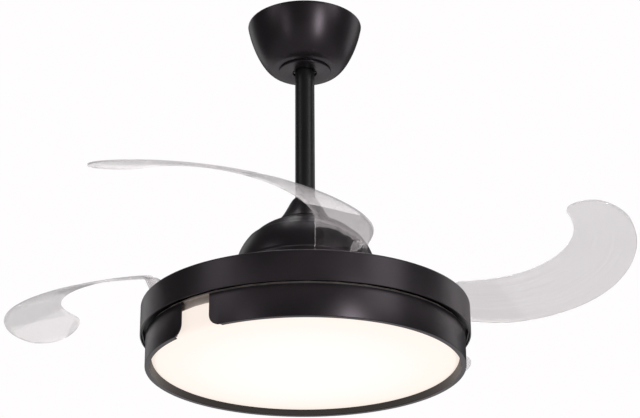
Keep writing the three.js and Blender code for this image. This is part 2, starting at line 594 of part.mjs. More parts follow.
/** Ring gear that links the four hubs: four toothed sectors on a plain ring. */
function syncRing() {
  const step = 360 / RING_TEETH;
  const inner = PLATEAU_RADIUS / APOTHEM + CLEARANCE;
  const plain = RING_PITCH - 1.2 * GEAR_MODULE;
  const reach = Math.ceil(8 / step);
  const swept = Math.ceil(GEAR_TURN / step);
  const points = [];
  for (let sector = 0; sector < BLADE_COUNT; sector += 1) {
    const centre = (360 * sector) / BLADE_COUNT;
    for (let k = -swept - reach; k < reach; k += 1) {
      points.push(...tooth(RING_PITCH, RING_TEETH, centre + (k + 0.5) * step));
    }
    const [from, to] = [centre + reach * step, centre + 360 / BLADE_COUNT - (swept + reach) * step];
    const steps = 4;
    for (let i = 1; i < steps; i += 1) {
      const angle = radians(lerp(from, to, i / steps));
      points.push([plain * Math.cos(angle), plain * Math.sin(angle)]);
    }
  }
  const outline = new THREE.Shape(points.map(([x, y]) => new THREE.Vector2(x, y)));
  const teeth = raised(outline, GEAR_BOTTOM, GEAR_TOP - CLEARANCE);
  const bore = bar(inner, PLATE_TOP, PLATEAU_TOP, FINE);
  const rim = tube(inner, inner + RING_RIM, PLATE_TOP + CLEARANCE, PLATEAU_TOP - CLEARANCE, FINE);
  return cut(teeth, [bore]).add(rim).rotate([0, 0, PIVOT_AZIMUTH]);
}

/** Moulded hub of one blade: gear sector, stop dog, plate for the blade, and a boss round the pin. */
function bladeHub() {
  const step = 360 / HUB_TEETH;
  const [before, after] = [1, Math.ceil(OPEN_ANGLE / step) + 1];
  const plain = HUB_PITCH - 1.2 * GEAR_MODULE;
  const points = [];
  for (let k = -before; k <= after; k += 1) points.push(...tooth(HUB_PITCH, HUB_TEETH, 180 + k * step));
  const [from, to] = [180 + (after + 0.5) * step, 540 - (before + 0.5) * step];
  const steps = 5;
  for (let i = 0; i <= steps; i += 1) {
    const angle = radians(lerp(from, to, i / steps));
    points.push([plain * Math.cos(angle), plain * Math.sin(angle)]);
  }
  const sector = new THREE.Shape(points.map(([x, y]) => new THREE.Vector2(x, y)));
  const gear = raised(sector, GEAR_BOTTOM, HUB_PLATE_BOTTOM + 0.5);
  const plate = bar(HUB_PLATE_RADIUS, HUB_PLATE_BOTTOM, HUB_TOP, 18);
  const boss = bar(HUB_BOSS_RADIUS, HUB_TOP - 1, LUG_TOP + CLEARANCE, COARSE);
  const stopGap = (2 * Math.asin((STOP_RADIUS + CLEARANCE + 4) / 2 / STOP_DISTANCE) * 180) / Math.PI;
  const dog = block([STOP_DISTANCE - 4, -4, PLATE_TOP + 2], [STOP_DISTANCE + 4, 4, GEAR_BOTTOM + 1])
    .rotate([0, 0, STOP_ANGLE - stopGap]);
  const pinWay = bar(PIN_RADIUS + PIN_PLAY, GEAR_BOTTOM - 1, LUG_TOP + 1, SMALL);
  return cut(joined([gear, plate, boss, dog]), [pinWay]);
}

/** Washer plate that clamps the blade's root to the hub. */
const bladeClamp = () =>
  tube(HUB_BOSS_RADIUS + CLEARANCE, CLAMP_RADIUS, LUG_TOP + CLEARANCE, CLAMP_TOP, 16);

/** Shoulder pin that a blade swings on. */
function pivotPin() {
  const low = CARRIER_UNDERSIDE - 1;
  const top = PIN_HEAD_BOTTOM + PIN_HEAD;
  return turned([
    [0, low], [PIN_RADIUS, low], [PIN_RADIUS, PIN_HEAD_BOTTOM], [PIN_HEAD_RADIUS, PIN_HEAD_BOTTOM],
    [PIN_HEAD_RADIUS, top - 0.6], [PIN_HEAD_RADIUS - 0.8, top], [0, top],
  ], SMALL);
}

/** Rubber sleeve on a post, which the hub's dog meets when the blade is out. */
const stopSleeve = () => tube(
  STOP_POST_RADIUS + CLEARANCE, STOP_RADIUS, PLATE_TOP + CLEARANCE, SLEEVE_TOP - 2, SMALL,
).translate(STOP_PLACE);

/** Torsion spring round a pivot, with one leg behind its peg. */
function returnSpring() {
  const low = PLATE_TOP + CLEARANCE + SPRING_WIRE;
  const pitch = (SLEEVE_TOP - PLATE_TOP - 2 * CLEARANCE - 2 * SPRING_WIRE) / SPRING_TURNS;
  const leg = 8;
  class Coil extends THREE.Curve {
    getPoint(t, target = new THREE.Vector3()) {
      const turn = t * SPRING_TURNS * 2 * Math.PI;
      const height = low + pitch * t * SPRING_TURNS;
      return target.set(SPRING_RADIUS * Math.cos(turn), SPRING_RADIUS * Math.sin(turn), height);
    }
  }
  const section = new THREE.Shape(Array.from({ length: 5 }, (_, i) => new THREE.Vector2(
    SPRING_WIRE * Math.cos((i * 2 * Math.PI) / 5),
    SPRING_WIRE * Math.sin((i * 2 * Math.PI) / 5),
  )));
  const coil = new THREE.ExtrudeGeometry(section, {
    steps: SPRING_TURNS * 6, extrudePath: new Coil(), bevelEnabled: false,
  });
  const tail = bar(SPRING_WIRE * 0.95, 0, leg, 5).rotate([90, 0, 0])
    .translate([SPRING_RADIUS, 0.4, low]);
  return solid(coil).add(tail);
}

// ---------------------------------------------------------------- blades

/** How far the blade has left its flat root and joined the conical band, from 0 to 1. */
function rise(radius, angle) {
  const [x, y] = [radius * Math.cos(radians(angle)), radius * Math.sin(radians(angle))];
  return angle > 0 ? smoothstep(Math.hypot(x - PIVOT_RADIUS, y), BLADE_FLAT, BLADE_JOIN) : 0;
}

/** Inner and outer radius of the folded blade at an angle from its pivot. */
function bladeEdges(angle) {
  let inner = BLADE_INNER_RADIUS + BLADE_TAPER * smoothstep(angle, 40, 120);
  let outer = lerp(PIVOT_RADIUS + BLADE_ROOT_RADIUS, BLADE_OUTER_RADIUS, smoothstep(angle, 0, 40));
  outer += BLADE_TIP_BULGE * smoothstep(angle, 90, BLADE_SPAN);
  if (angle < 0) {
    const away = PIVOT_RADIUS * radians(-angle);
    const half = Math.sqrt(Math.max(BLADE_ROOT_RADIUS ** 2 - away ** 2, 1));
    inner = PIVOT_RADIUS - half;
    outer = PIVOT_RADIUS + half;
  }
  const past = THREE.MathUtils.clamp((angle - BLADE_SPAN + TIP_ROUNDING) / TIP_ROUNDING, 0, 1);
  const corner = 1 - Math.sqrt(1 - past ** 2);
  inner += TIP_INNER_CORNER * corner;
  outer -= TIP_OUTER_CORNER * corner;
  return [inner, outer];
}

/** Height of the blade's middle surface. */
function bladeHeight(radius, angle) {
  const across = (radius - BLADE_INNER_RADIUS) / (BLADE_OUTER_RADIUS - BLADE_INNER_RADIUS);
  const inner = BLADE_INNER_HEIGHT + BLADE_INNER_CLIMB * smoothstep(angle, 40, 145);
  const outer = BLADE_OUTER_HEIGHT + BLADE_OUTER_CLIMB * Math.max((angle - 50) / (BLADE_SPAN - 50), 0) ** 1.7;
  const arch = 4 * BLADE_CAMBER * across * (1 - across);
  return lerp(LUG_MIDDLE, lerp(inner, outer, across) + arch, rise(radius, angle));
}

/** Angles of the blade's cross-sections, closer together round its two ends and over its twist. */
function bladeStations() {
  const start = THREE.MathUtils.radToDeg(-BLADE_ROOT_RADIUS / PIVOT_RADIUS);
  const quarter = (i, count) => (Math.PI / 2) * (i / count);
  const tip = BLADE_SPAN - TIP_ROUNDING;
  const even = (from, to, count) => Array.from({ length: count }, (_, i) => lerp(from, to, i / count));
  return [
    ...Array.from({ length: 4 }, (_, i) => start * Math.cos(quarter(i, 4))),
    ...even(0, 24, 7),
    ...even(24, tip, 7),
    ...Array.from({ length: 6 }, (_, i) => tip + TIP_ROUNDING * Math.sin(quarter(i, 5))),
  ];
}

/** One blade, folded, about its own pivot: a thin lofted band with a round root and a hooked tip. */
function blade() {
  const stations = bladeStations();
  const spacing = [0, 0.2, 0.45, 0.72, 1];    // closer together beside the raised inner edge
  const [rows, columns] = [stations.length - 1, spacing.length - 1];
  const spot = (angle, radius) => new THREE.Vector3(
    radius * Math.cos(radians(-angle)) - PIVOT_RADIUS,
    radius * Math.sin(radians(-angle)),
    bladeHeight(radius, angle),
  );
  const [upper, lower] = [[], []];
  for (const angle of stations) {
    const [inner, outer] = bladeEdges(angle);
    for (let j = 0; j <= columns; j += 1) {
      const radius = lerp(inner, outer, spacing[j]);
      const middle = spot(angle, radius);
      const [ahead, outward] = [spot(angle + 0.2, radius).sub(middle), spot(angle, radius + 0.2).sub(middle)];
      const normal = outward.cross(ahead).normalize();
      if (normal.z < 0) normal.negate();
      upper.push(middle.clone().addScaledVector(normal, BLADE_THICKNESS / 2));
      lower.push(middle.clone().addScaledVector(normal, -BLADE_THICKNESS / 2));
    }
  }
  const width = columns + 1;
  const under = upper.length;
  const index = [];
  const quad = (a, b, c, d) => index.push(a, b, c, a, c, d);
  for (let i = 0; i < rows; i += 1) {
    for (let j = 0; j < columns; j += 1) {
      const [a, b] = [i * width + j, (i + 1) * width + j];
      quad(a, b, b + 1, a + 1);
      quad(under + a, under + a + 1, under + b + 1, under + b);
    }
    const [inner, outer] = [i * width, i * width + columns];
    quad(inner, under + inner, under + inner + width, inner + width);
    quad(outer, outer + width, under + outer + width, under + outer);
  }
  for (let j = 0; j < columns; j += 1) {
    const last = rows * width + j;
    quad(j, j + 1, under + j + 1, under + j);
    quad(last, under + last, under + last + 1, last + 1);
  }
  const geometry = new THREE.BufferGeometry().setFromPoints([...upper, ...lower]);
  geometry.setIndex(index);
  const bossWay = bar(HUB_BOSS_RADIUS + CLEARANCE, LUG_BOTTOM - 3, LUG_TOP + 3);
  return cut(solid(geometry), [bossWay]);
}

// ---------------------------------------------------------------- lamp drum

/** Outer sheet-metal ring of the drum, with a rolled top lip and a ledge that rests on the pan. */
function upperRing() {
  const inside = DRUM_RADIUS - RING_WALL;
  return turned([
    [inside, UPPER_RING_BOTTOM], [DRUM_RADIUS, UPPER_RING_BOTTOM], [DRUM_RADIUS, UPPER_RING_TOP - 3],
    [DRUM_RADIUS - 0.9, UPPER_RING_TOP - 0.9], [DRUM_RADIUS - 3, UPPER_RING_TOP],
    [DRUM_RADIUS - UPPER_LIP, UPPER_RING_TOP], [DRUM_RADIUS - UPPER_LIP, UPPER_RING_TOP - 3],
    [DRUM_RADIUS - UPPER_LIP + RING_WALL, UPPER_RING_TOP - 3],
    [DRUM_RADIUS - UPPER_LIP + RING_WALL, UPPER_RING_TOP - RING_WALL], [inside, UPPER_RING_TOP - RING_WALL],
    [inside, PAN_TOP + CLEARANCE + RING_WALL], [inside - PAN_LEDGE, PAN_TOP + CLEARANCE + RING_WALL],
    [inside - PAN_LEDGE, PAN_TOP + CLEARANCE], [inside, PAN_TOP + CLEARANCE],
  ], FINE);
}

/** Pan that hangs on the shaft and carries the drum. */
function lampPan() {
  const pan = turned([
    [SHAFT_RADIUS + CLEARANCE, PAN_FLOOR], [PAN_SKIRT_RADIUS - RING_WALL, PAN_FLOOR],
    [PAN_SKIRT_RADIUS - RING_WALL, PAN_FLOOR - PAN_SKIRT], [PAN_SKIRT_RADIUS, PAN_FLOOR - PAN_SKIRT],
    [PAN_SKIRT_RADIUS, PAN_TOP], [SHAFT_RADIUS + CLEARANCE, PAN_TOP],
  ], FINE);
  const screwWays = spread(bar(SCREW_RADIUS + CLEARANCE, PAN_FLOOR - 1, PAN_TOP + 1, SMALL)
    .translate([STANDOFF_CIRCLE, 0, 0]), STANDOFF_COUNT);
  return cut(pan, screwWays);
}

/** Hexagon nut under the pan. */
function shaftNut() {
  const hexagon = new THREE.Shape(Array.from({ length: 6 }, (_, i) => {
    const [angle, corner] = [(i * Math.PI) / 3, SHAFT_NUT_ACROSS / 2 / Math.cos(Math.PI / 6)];
    return new THREE.Vector2(corner * Math.cos(angle), corner * Math.sin(angle));
  }));
  const top = PAN_FLOOR - CLEARANCE;
  const nut = raised(hexagon, top - SHAFT_NUT_HEIGHT, top);
  return cut(nut, [bar(SHAFT_RADIUS + CLEARANCE, top - SHAFT_NUT_HEIGHT - 1, top + 1, COARSE)]);
}

/** Aluminium tray that cools the lamp board: skirt, standoffs, and hooks for the diffuser. */
function lampTray() {
  const floor = TRAY_TOP - TRAY_THICKNESS;
  const inside = TRAY_RADIUS - RING_WALL;
  const dish = turned([
    [16, floor], [inside, floor], [inside, TRAY_SKIRT_BOTTOM], [TRAY_RADIUS, TRAY_SKIRT_BOTTOM],
    [TRAY_RADIUS, floor], [LOWER_RING_RADIUS - RING_WALL - CLEARANCE, floor],
    [LOWER_RING_RADIUS - RING_WALL - CLEARANCE, TRAY_TOP], [16, TRAY_TOP],
  ], FINE);
  const standoffs = spread(bar(STANDOFF_RADIUS, TRAY_TOP - 1, PAN_FLOOR - CLEARANCE, SMALL)
    .translate([STANDOFF_CIRCLE, 0, 0]), STANDOFF_COUNT);
  const threads = spread(bar(SCREW_RADIUS + CLEARANCE, TRAY_TOP + 1, PAN_FLOOR, SMALL)
    .translate([STANDOFF_CIRCLE, 0, 0]), STANDOFF_COUNT);
  const hookReach = (DIFFUSER_RADIUS + CLEARANCE) / Math.cos(radians(CATCH_ANGLE / 4));
  const hook = catchSector(hookReach, inside + 0.5, TRAY_SKIRT_BOTTOM, TRAY_SKIRT_BOTTOM + CATCH_THICKNESS);
  return cut(joined([dish, ...standoffs, ...spread(hook, CATCH_COUNT)]), threads);
}

/** Short arc of a ring, centred on +X, used for the bayonet catches. */
function catchSector(inner, outer, low, high) {
  const half = radians(CATCH_ANGLE / 2);
  const shape = new THREE.Shape();
  shape.absarc(0, 0, outer, -half, half, false);
  shape.absarc(0, 0, inner, half, -half, true);
  return raised(shape, low, high, 2);
}

const panScrew = () => {
  const seat = PAN_TOP + CLEARANCE;
  return turned([
    [0, TRAY_TOP + 3], [SCREW_RADIUS, TRAY_TOP + 3], [SCREW_RADIUS, seat], [3.8, seat],
    [3.4, seat + 1.8], [0, seat + 1.8],
  ], SMALL);
};

/** Open decorative ring: a lipped band cut through at the notch, with rounded lower corners. */
function lowerRing() {
  const inside = LOWER_RING_RADIUS - RING_WALL;
  const band = turned([
    [LOWER_RING_RADIUS - LOWER_LIP, 0], [LOWER_RING_RADIUS - 0.8, 0], [LOWER_RING_RADIUS, 0.8],
    [LOWER_RING_RADIUS, LOWER_RING_HEIGHT - 1], [LOWER_RING_RADIUS - 1, LOWER_RING_HEIGHT],
    [TRAY_RADIUS + CLEARANCE, LOWER_RING_HEIGHT], [TRAY_RADIUS + CLEARANCE, LOWER_RING_HEIGHT - RING_WALL],
    [inside, LOWER_RING_HEIGHT - RING_WALL], [inside, RING_WALL], [LOWER_RING_RADIUS - LOWER_LIP, RING_WALL],
  ], FINE);
  const half = NOTCH_WIDTH / 2;
  const mouth = new THREE.Shape();
  mouth.moveTo(-half - NOTCH_CORNER, -1);
  mouth.absarc(-half - NOTCH_CORNER, NOTCH_CORNER, NOTCH_CORNER, -Math.PI / 2, 0, false);
  mouth.lineTo(-half, LOWER_RING_HEIGHT + 1);
  mouth.lineTo(half, LOWER_RING_HEIGHT + 1);
  mouth.absarc(half + NOTCH_CORNER, NOTCH_CORNER, NOTCH_CORNER, Math.PI, 1.5 * Math.PI, false);
  mouth.lineTo(half + NOTCH_CORNER, -1);
  const notch = raised(mouth, LOWER_RING_RADIUS - 20, LOWER_RING_RADIUS + 5, 3)
    .rotate([90, 0, 90]).rotate([0, 0, NOTCH_AZIMUTH]);
  return cut(band, [notch]);
}

/** White circuit board that faces down into the diffuser. */
function lampBoard() {
  return tube(20, BOARD_RADIUS, LOWER_RING_HEIGHT - BOARD_THICKNESS, LOWER_RING_HEIGHT, FINE);
}

/** Opal bowl of the lamp, with three tabs that turn over the tray's hooks. */
function diffuser() {
  const line = along(bend(
    [DIFFUSER_RADIUS - DIFFUSER_CORNER * 2, DIFFUSER_FACE + 1.5],
    [DIFFUSER_RADIUS - DIFFUSER_CORNER * 0.6, DIFFUSER_FACE + 2.2],
    [DIFFUSER_RADIUS, DIFFUSER_FACE + DIFFUSER_CORNER * 0.6],
    [DIFFUSER_RADIUS, DIFFUSER_FACE + DIFFUSER_CORNER * 1.6],
  ), 3);
  const bottom = [[0, DIFFUSER_FACE - 2], [DIFFUSER_RADIUS * 0.55, DIFFUSER_FACE - 0.6]];
  const bowl = [...bottom, ...line, [DIFFUSER_RADIUS, DIFFUSER_TOP]];
  const shrink = 1 - DIFFUSER_WALL / DIFFUSER_RADIUS;
  const inner = [...bottom, ...line].map(([r, z]) => [r * shrink, z + DIFFUSER_WALL]);
  const shell = turned([...bowl, [DIFFUSER_RADIUS - DIFFUSER_WALL, DIFFUSER_TOP], ...inner.reverse()], FINE);
  const reach = (TRAY_RADIUS - RING_WALL) * APOTHEM - CLEARANCE;
  const tab = catchSector(DIFFUSER_RADIUS - DIFFUSER_WALL / 2, reach, TAB_BOTTOM, TAB_BOTTOM + CATCH_THICKNESS);
  return joined([shell, ...spread(tab, CATCH_COUNT)]);
}

/** Small electronics case on the pan, under the carrier's raised middle. */
function casing(side) {
  const low = PAN_TOP + CLEARANCE;
  const half = (PLATEAU_RADIUS - BOX_INSET - BOX_START) / 2;
  const [x, y] = [side * (BOX_START + half), BOX_LENGTH / 2];
  const body = block([x - half, -y, low], [x + half, y, low + BOX_HEIGHT]);
  const ribs = [-1, 0, 1].map((row) => block(
    [x - half - 1, row * y * 0.7 - 2, low + 0.6],
    [x + half + 1, row * y * 0.7 + 2, low + BOX_HEIGHT - 4],
  ));
  return joined([body, ...ribs]);
}

// ---------------------------------------------------------------- assembly

const fan = new THREE.Group();
const hung = new THREE.Group();
hung.position.z = -SUSPENSION_HEIGHT;
fan.add(hung);

hung.add(
  piece('hanger_bracket', hangerBracket(), 'steel'),
  piece('canopy', canopy(), 'graphite'),
  piece('canopy_trim_cup', canopyTrim(), 'graphite'),
  piece('hanger_ball', hangerBall(), 'nylon'),
  piece('ball_pin', ballPin(), 'steel'),
  piece('downrod', downrod(), 'graphite'),
  piece('motor_yoke', yoke(), 'steel'),
  piece('rod_pin', rodPin(), 'steel'),
  piece('coupling_cover', couplingCover(), 'graphite'),
  piece('motor_cover', motorCover(), 'graphite'),
  piece('motor_shaft', motorShaft(), 'steel'),
  piece('stator', stator(), 'copper'),
  piece('lower_bearing', bearing(MOTOR_BOTTOM + MOTOR_WALL - 1 + CLEARANCE), 'steel'),
  piece('upper_bearing', bearing(MOTOR_TOP - 1 - CLEARANCE - BEARING_HEIGHT), 'steel'),
  piece('motor_case_lower', motorCaseLower(), 'aluminium'),
  piece('motor_case_upper', motorCaseUpper(), 'aluminium'),
  piece('magnet_ring', magnetRing(), 'magnet'),
  piece('blade_carrier', bladeCarrier(), 'graphite'),
  piece('sync_ring_gear', syncRing(), 'acetal'),
  piece('lamp_pan', lampPan(), 'graphite'),
  piece('shaft_nut', shaftNut(), 'steel'),
  piece('upper_ring', upperRing(), 'graphite'),
  piece('lamp_tray', lampTray(), 'aluminium'),
  piece('lower_ring', lowerRing(), 'graphite'),
  piece('lamp_board', lampBoard(), 'board'),
  piece('diffuser', diffuser(), 'opal'),
  piece('lamp_driver', casing(1), 'casing'),
  piece('remote_receiver', casing(-1), 'casing'),
);

[0, 180].forEach((azimuth, i) => {
  const screw = piece(`canopy_screw_${i + 1}`, canopyScrew(), 'steel');
  screw.position.set(TRIM_SCREW_CIRCLE * Math.cos(radians(azimuth)), 0, 0);
  hung.add(screw);
});

for (let i = 0; i < STANDOFF_COUNT; i += 1) {
  const angle = (2 * Math.PI * i) / STANDOFF_COUNT;
  const screw = piece(`pan_screw_${i + 1}`, panScrew(), 'steel');
  screw.position.set(STANDOFF_CIRCLE * Math.cos(angle), STANDOFF_CIRCLE * Math.sin(angle), 0);
  hung.add(screw);
}

PIVOTS.forEach((azimuth, i) => {
  const pivot = new THREE.Group();
  pivot.position.set(PIVOT_RADIUS * Math.cos(radians(azimuth)), PIVOT_RADIUS * Math.sin(radians(azimuth)), 0);
  pivot.rotation.z = radians(azimuth);
  const swungBlade = piece(`blade_${i + 1}`, blade(), 'clear');
  swungBlade.rotation.z = radians(OPEN_ANGLE);
  pivot.add(
    swungBlade,
    piece(`blade_hub_${i + 1}`, bladeHub(), 'nylon'),
    piece(`blade_clamp_${i + 1}`, bladeClamp(), 'steel'),
    piece(`pivot_pin_${i + 1}`, pivotPin(), 'steel'),
    piece(`return_spring_${i + 1}`, returnSpring(), 'steel'),
    piece(`stop_sleeve_${i + 1}`, stopSleeve(), 'rubber'),
  );
  hung.add(pivot);
});

export default fan;
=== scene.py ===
from math import asin, cos, hypot, pi, radians, sin, sqrt

import bmesh
import bpy
from mathutils import Matrix, Vector


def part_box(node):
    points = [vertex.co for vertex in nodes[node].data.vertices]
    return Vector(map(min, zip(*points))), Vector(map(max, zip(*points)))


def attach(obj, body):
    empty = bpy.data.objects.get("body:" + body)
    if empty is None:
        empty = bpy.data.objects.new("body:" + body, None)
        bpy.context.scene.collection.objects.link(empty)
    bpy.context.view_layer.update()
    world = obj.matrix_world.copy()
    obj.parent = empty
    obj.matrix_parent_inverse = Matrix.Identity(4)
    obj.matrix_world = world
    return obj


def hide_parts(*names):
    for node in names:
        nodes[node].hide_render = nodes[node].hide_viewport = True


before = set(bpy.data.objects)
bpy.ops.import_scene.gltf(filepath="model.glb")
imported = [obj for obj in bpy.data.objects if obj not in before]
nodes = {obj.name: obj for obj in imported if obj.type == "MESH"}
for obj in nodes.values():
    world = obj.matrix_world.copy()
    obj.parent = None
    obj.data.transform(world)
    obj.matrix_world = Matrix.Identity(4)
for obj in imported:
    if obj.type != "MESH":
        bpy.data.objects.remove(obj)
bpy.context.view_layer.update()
scene = bpy.context.scene


# ---------------------------------------------------------------- camera, floor and light
# A long lens from below, turned up at the fan as in the photograph. The floor is a plain pale
# one, a room's height below the ceiling. Soft panels stand before the fan at two heights, behind
# it on both sides, above it and low behind it, in a white room.

CAMERA_PLACE = Vector((0, -2.2673, -1.251))
CAMERA_PITCH = radians(23.2726)
CAMERA_YAW = radians(0.503)
CAMERA_ROLL = radians(-0.3735)
SENSOR_WIDTH = 36
FOCAL_LENGTH_IN_FRAMES = 1838.2 / 640
FLOOR_DROP = 2.7
FLOOR_REACH = 9

forward = Vector((
    sin(CAMERA_YAW) * cos(CAMERA_PITCH), cos(CAMERA_YAW) * cos(CAMERA_PITCH), sin(CAMERA_PITCH)))
level = Vector((cos(CAMERA_YAW), -sin(CAMERA_YAW), 0))
upright = level.cross(forward)
right = level * cos(CAMERA_ROLL) + upright * sin(CAMERA_ROLL)
up = upright * cos(CAMERA_ROLL) - level * sin(CAMERA_ROLL)

lens = bpy.data.cameras.new("photo_lens")
lens.sensor_width = SENSOR_WIDTH
lens.lens = SENSOR_WIDTH * FOCAL_LENGTH_IN_FRAMES
lens.clip_end = 50
camera = bpy.data.objects.new("photo_camera", lens)
facing = Matrix((right, up, -forward)).transposed().to_4x4()
camera.matrix_world = Matrix.Translation(CAMERA_PLACE) @ facing
scene.collection.objects.link(camera)
scene.camera = camera
scene.view_settings.view_transform = "Standard"


def place_mesh(name, bm):
    """Turns a finished bmesh into an object at the origin."""
    mesh = bpy.data.meshes.new(name)
    bm.to_mesh(mesh)
    bm.free()
    made = bpy.data.objects.new(name, mesh)
    scene.collection.objects.link(made)
    return made


bm = bmesh.new()
bmesh.ops.create_grid(bm, x_segments=1, y_segments=1, size=FLOOR_REACH)
bmesh.ops.translate(bm, verts=bm.verts, vec=(0, 0, -FLOOR_DROP))
floor = place_mesh("floor", bm)
paper = bpy.data.materials.new("floor_paper")
paper.use_nodes = True
shader = paper.node_tree.nodes["Principled BSDF"]
shader.inputs["Base Color"].default_value = (0.86, 0.855, 0.86, 1)
shader.inputs["Roughness"].default_value = 0.9
floor.data.materials.append(paper)


def soft_panel(name, place, target, size, power):
    """A rectangular lamp that faces the target. Its size is width and height, its power in watts."""
    lamp = bpy.data.lights.new(name, "AREA")
    lamp.shape = "RECTANGLE"
    lamp.size, lamp.size_y = size
    lamp.energy = power
    held = bpy.data.objects.new(name, lamp)
    held.location = place
    held.rotation_euler = (Vector(target) - Vector(place)).to_track_quat("-Z", "Y").to_euler()
    scene.collection.objects.link(held)


def round_the_fan(degrees, reach, height):
    """A place at a reach from the axis and an angle from the front, counted towards the right."""
    turn = radians(degrees)
    return (reach * sin(turn), -reach * cos(turn), height)


FAN_MIDDLE = (0, 0, -0.35)
CANOPY_MIDDLE = (0, 0, -0.05)
soft_panel("key_panel", round_the_fan(55, 2.4, 0.65), FAN_MIDDLE, (1.0, 1.1), 12)
soft_panel("fill_panel", round_the_fan(-60, 2.4, 0.65), FAN_MIDDLE, (1.0, 1.1), 6.5)
soft_panel("low_key_panel", round_the_fan(30, 2.3, -0.42), CANOPY_MIDDLE, (0.35, 0.8), 24)
soft_panel("low_fill_panel", round_the_fan(-39, 2.3, -0.35), CANOPY_MIDDLE, (0.25, 0.9), 3.5)
soft_panel("right_rim_panel", round_the_fan(120, 2.3, 0.6), FAN_MIDDLE, (1.0, 1.8), 6)
soft_panel("left_rim_panel", round_the_fan(-140, 2.3, 0.6), FAN_MIDDLE, (1.0, 1.8), 4)
soft_panel("top_panel", (0.2, 0.5, 2.1), FAN_MIDDLE, (1.6, 1.6), 24)
soft_panel("floor_panel", (0, 1.9, -1.4), FAN_MIDDLE, (6, 3), 24)

AIR_LIGHT = 0.5
MIRRORED_LIGHT = 0.07

world = bpy.data.worlds.new("white_room")
scene.world = world
world.use_nodes = True
air = world.node_tree
background = air.nodes["Background"]
background.inputs["Color"].default_value = (1, 0.985, 0.995, 1)
light_path = air.nodes.new("ShaderNodeLightPath")
seen_through = air.nodes.new("ShaderNodeMath")
seen_through.operation = "MAXIMUM"
air.links.new(light_path.outputs["Is Camera Ray"], seen_through.inputs[0])
air.links.new(light_path.outputs["Is Transmission Ray"], seen_through.inputs[1])
mirrored = air.nodes.new("ShaderNodeMath")
mirrored.operation = "MULTIPLY_ADD"
mirrored.inputs[1].default_value = MIRRORED_LIGHT - AIR_LIGHT
mirrored.inputs[2].default_value = AIR_LIGHT
air.links.new(light_path.outputs["Is Glossy Ray"], mirrored.inputs[0])
strength = air.nodes.new("ShaderNodeMath")
strength.operation = "MAXIMUM"
air.links.new(seen_through.outputs[0], strength.inputs[0])
air.links.new(mirrored.outputs[0], strength.inputs[1])
air.links.new(strength.outputs[0], background.inputs["Strength"])


# ---------------------------------------------------------------- canopy
# A bell spun from sheet steel that hides the ceiling bracket, with a thin edge at the ceiling.
# It is coated in satin black powder, whose fine grain the other black pieces share.

TURN_STEPS = 160


def spun(name, outline, steps=TURN_STEPS, closed=True):
    """A piece of revolution about the fan's axis from [radius, height] points."""
    bm = bmesh.new()
    ring = [bm.verts.new((r, 0, z)) for r, z in outline]
    ends = zip(ring, ring[1:] + ring[:1]) if closed else zip(ring, ring[1:])
    edges = [bm.edges.new(pair) for pair in ends]
    bmesh.ops.spin(
        bm, geom=ring + edges, cent=(0, 0, 0), axis=(0, 0, 1), angle=2 * pi, steps=steps, use_merge=True)
    bmesh.ops.remove_doubles(bm, verts=bm.verts, dist=1e-6)
    bmesh.ops.dissolve_degenerate(bm, edges=bm.edges, dist=1e-7)
    bmesh.ops.recalc_face_normals(bm, faces=bm.faces)
    return place_mesh(name, bm)


def smooth(piece, limit=35):
    """Smooth shading, apart from edges sharper than the limit in degrees."""
    piece.data.shade_smooth()
    piece.data.set_sharp_from_angle(angle=radians(limit))
    return piece


def walled(piece, thickness, edge=0.0004):
    """Gives a single skin its inner wall, with slightly rounded edges."""
    skin = piece.modifiers.new("wall", "SOLIDIFY")
    skin.thickness = thickness
    skin.offset = -1
    skin.use_even_offset = True
    return rounded(piece, edge)


def rounded(piece, width, segments=2, limit=40):
    """Rounds every edge that is sharper than the limit in degrees."""
    bevel = piece.modifiers.new("rounded_edges", "BEVEL")
    bevel.width = width
    bevel.segments = segments
    bevel.limit_method = "ANGLE"
    bevel.angle_limit = radians(limit)
    bevel.harden_normals = False
    return piece


def arc(middle, first, last, radius, steps):
    """Points round part of a circle in the [radius, height] plane; angles are in degrees."""
    spread = [radians(first + (last - first) * i / steps) for i in range(steps + 1)]
    return [(middle[0] + radius * cos(a), middle[1] + radius * sin(a)) for a in spread]


def swept(a, b, c, d, steps):
    """Points along a cubic curve with four control points."""
    points = []
    for i in range(steps + 1):
        t = i / steps
        weights = ((1 - t) ** 3, 3 * t * (1 - t) ** 2, 3 * t * t * (1 - t), t ** 3)
        points.append(tuple(sum(w * p[k] for w, p in zip(weights, (a, b, c, d))) for k in (0, 1)))
    return points


GRAIN_SHARE = 0.35
DARKEST, LIGHTEST = 0.32, 0.68
GRAIN_RELIEF = 0.0004


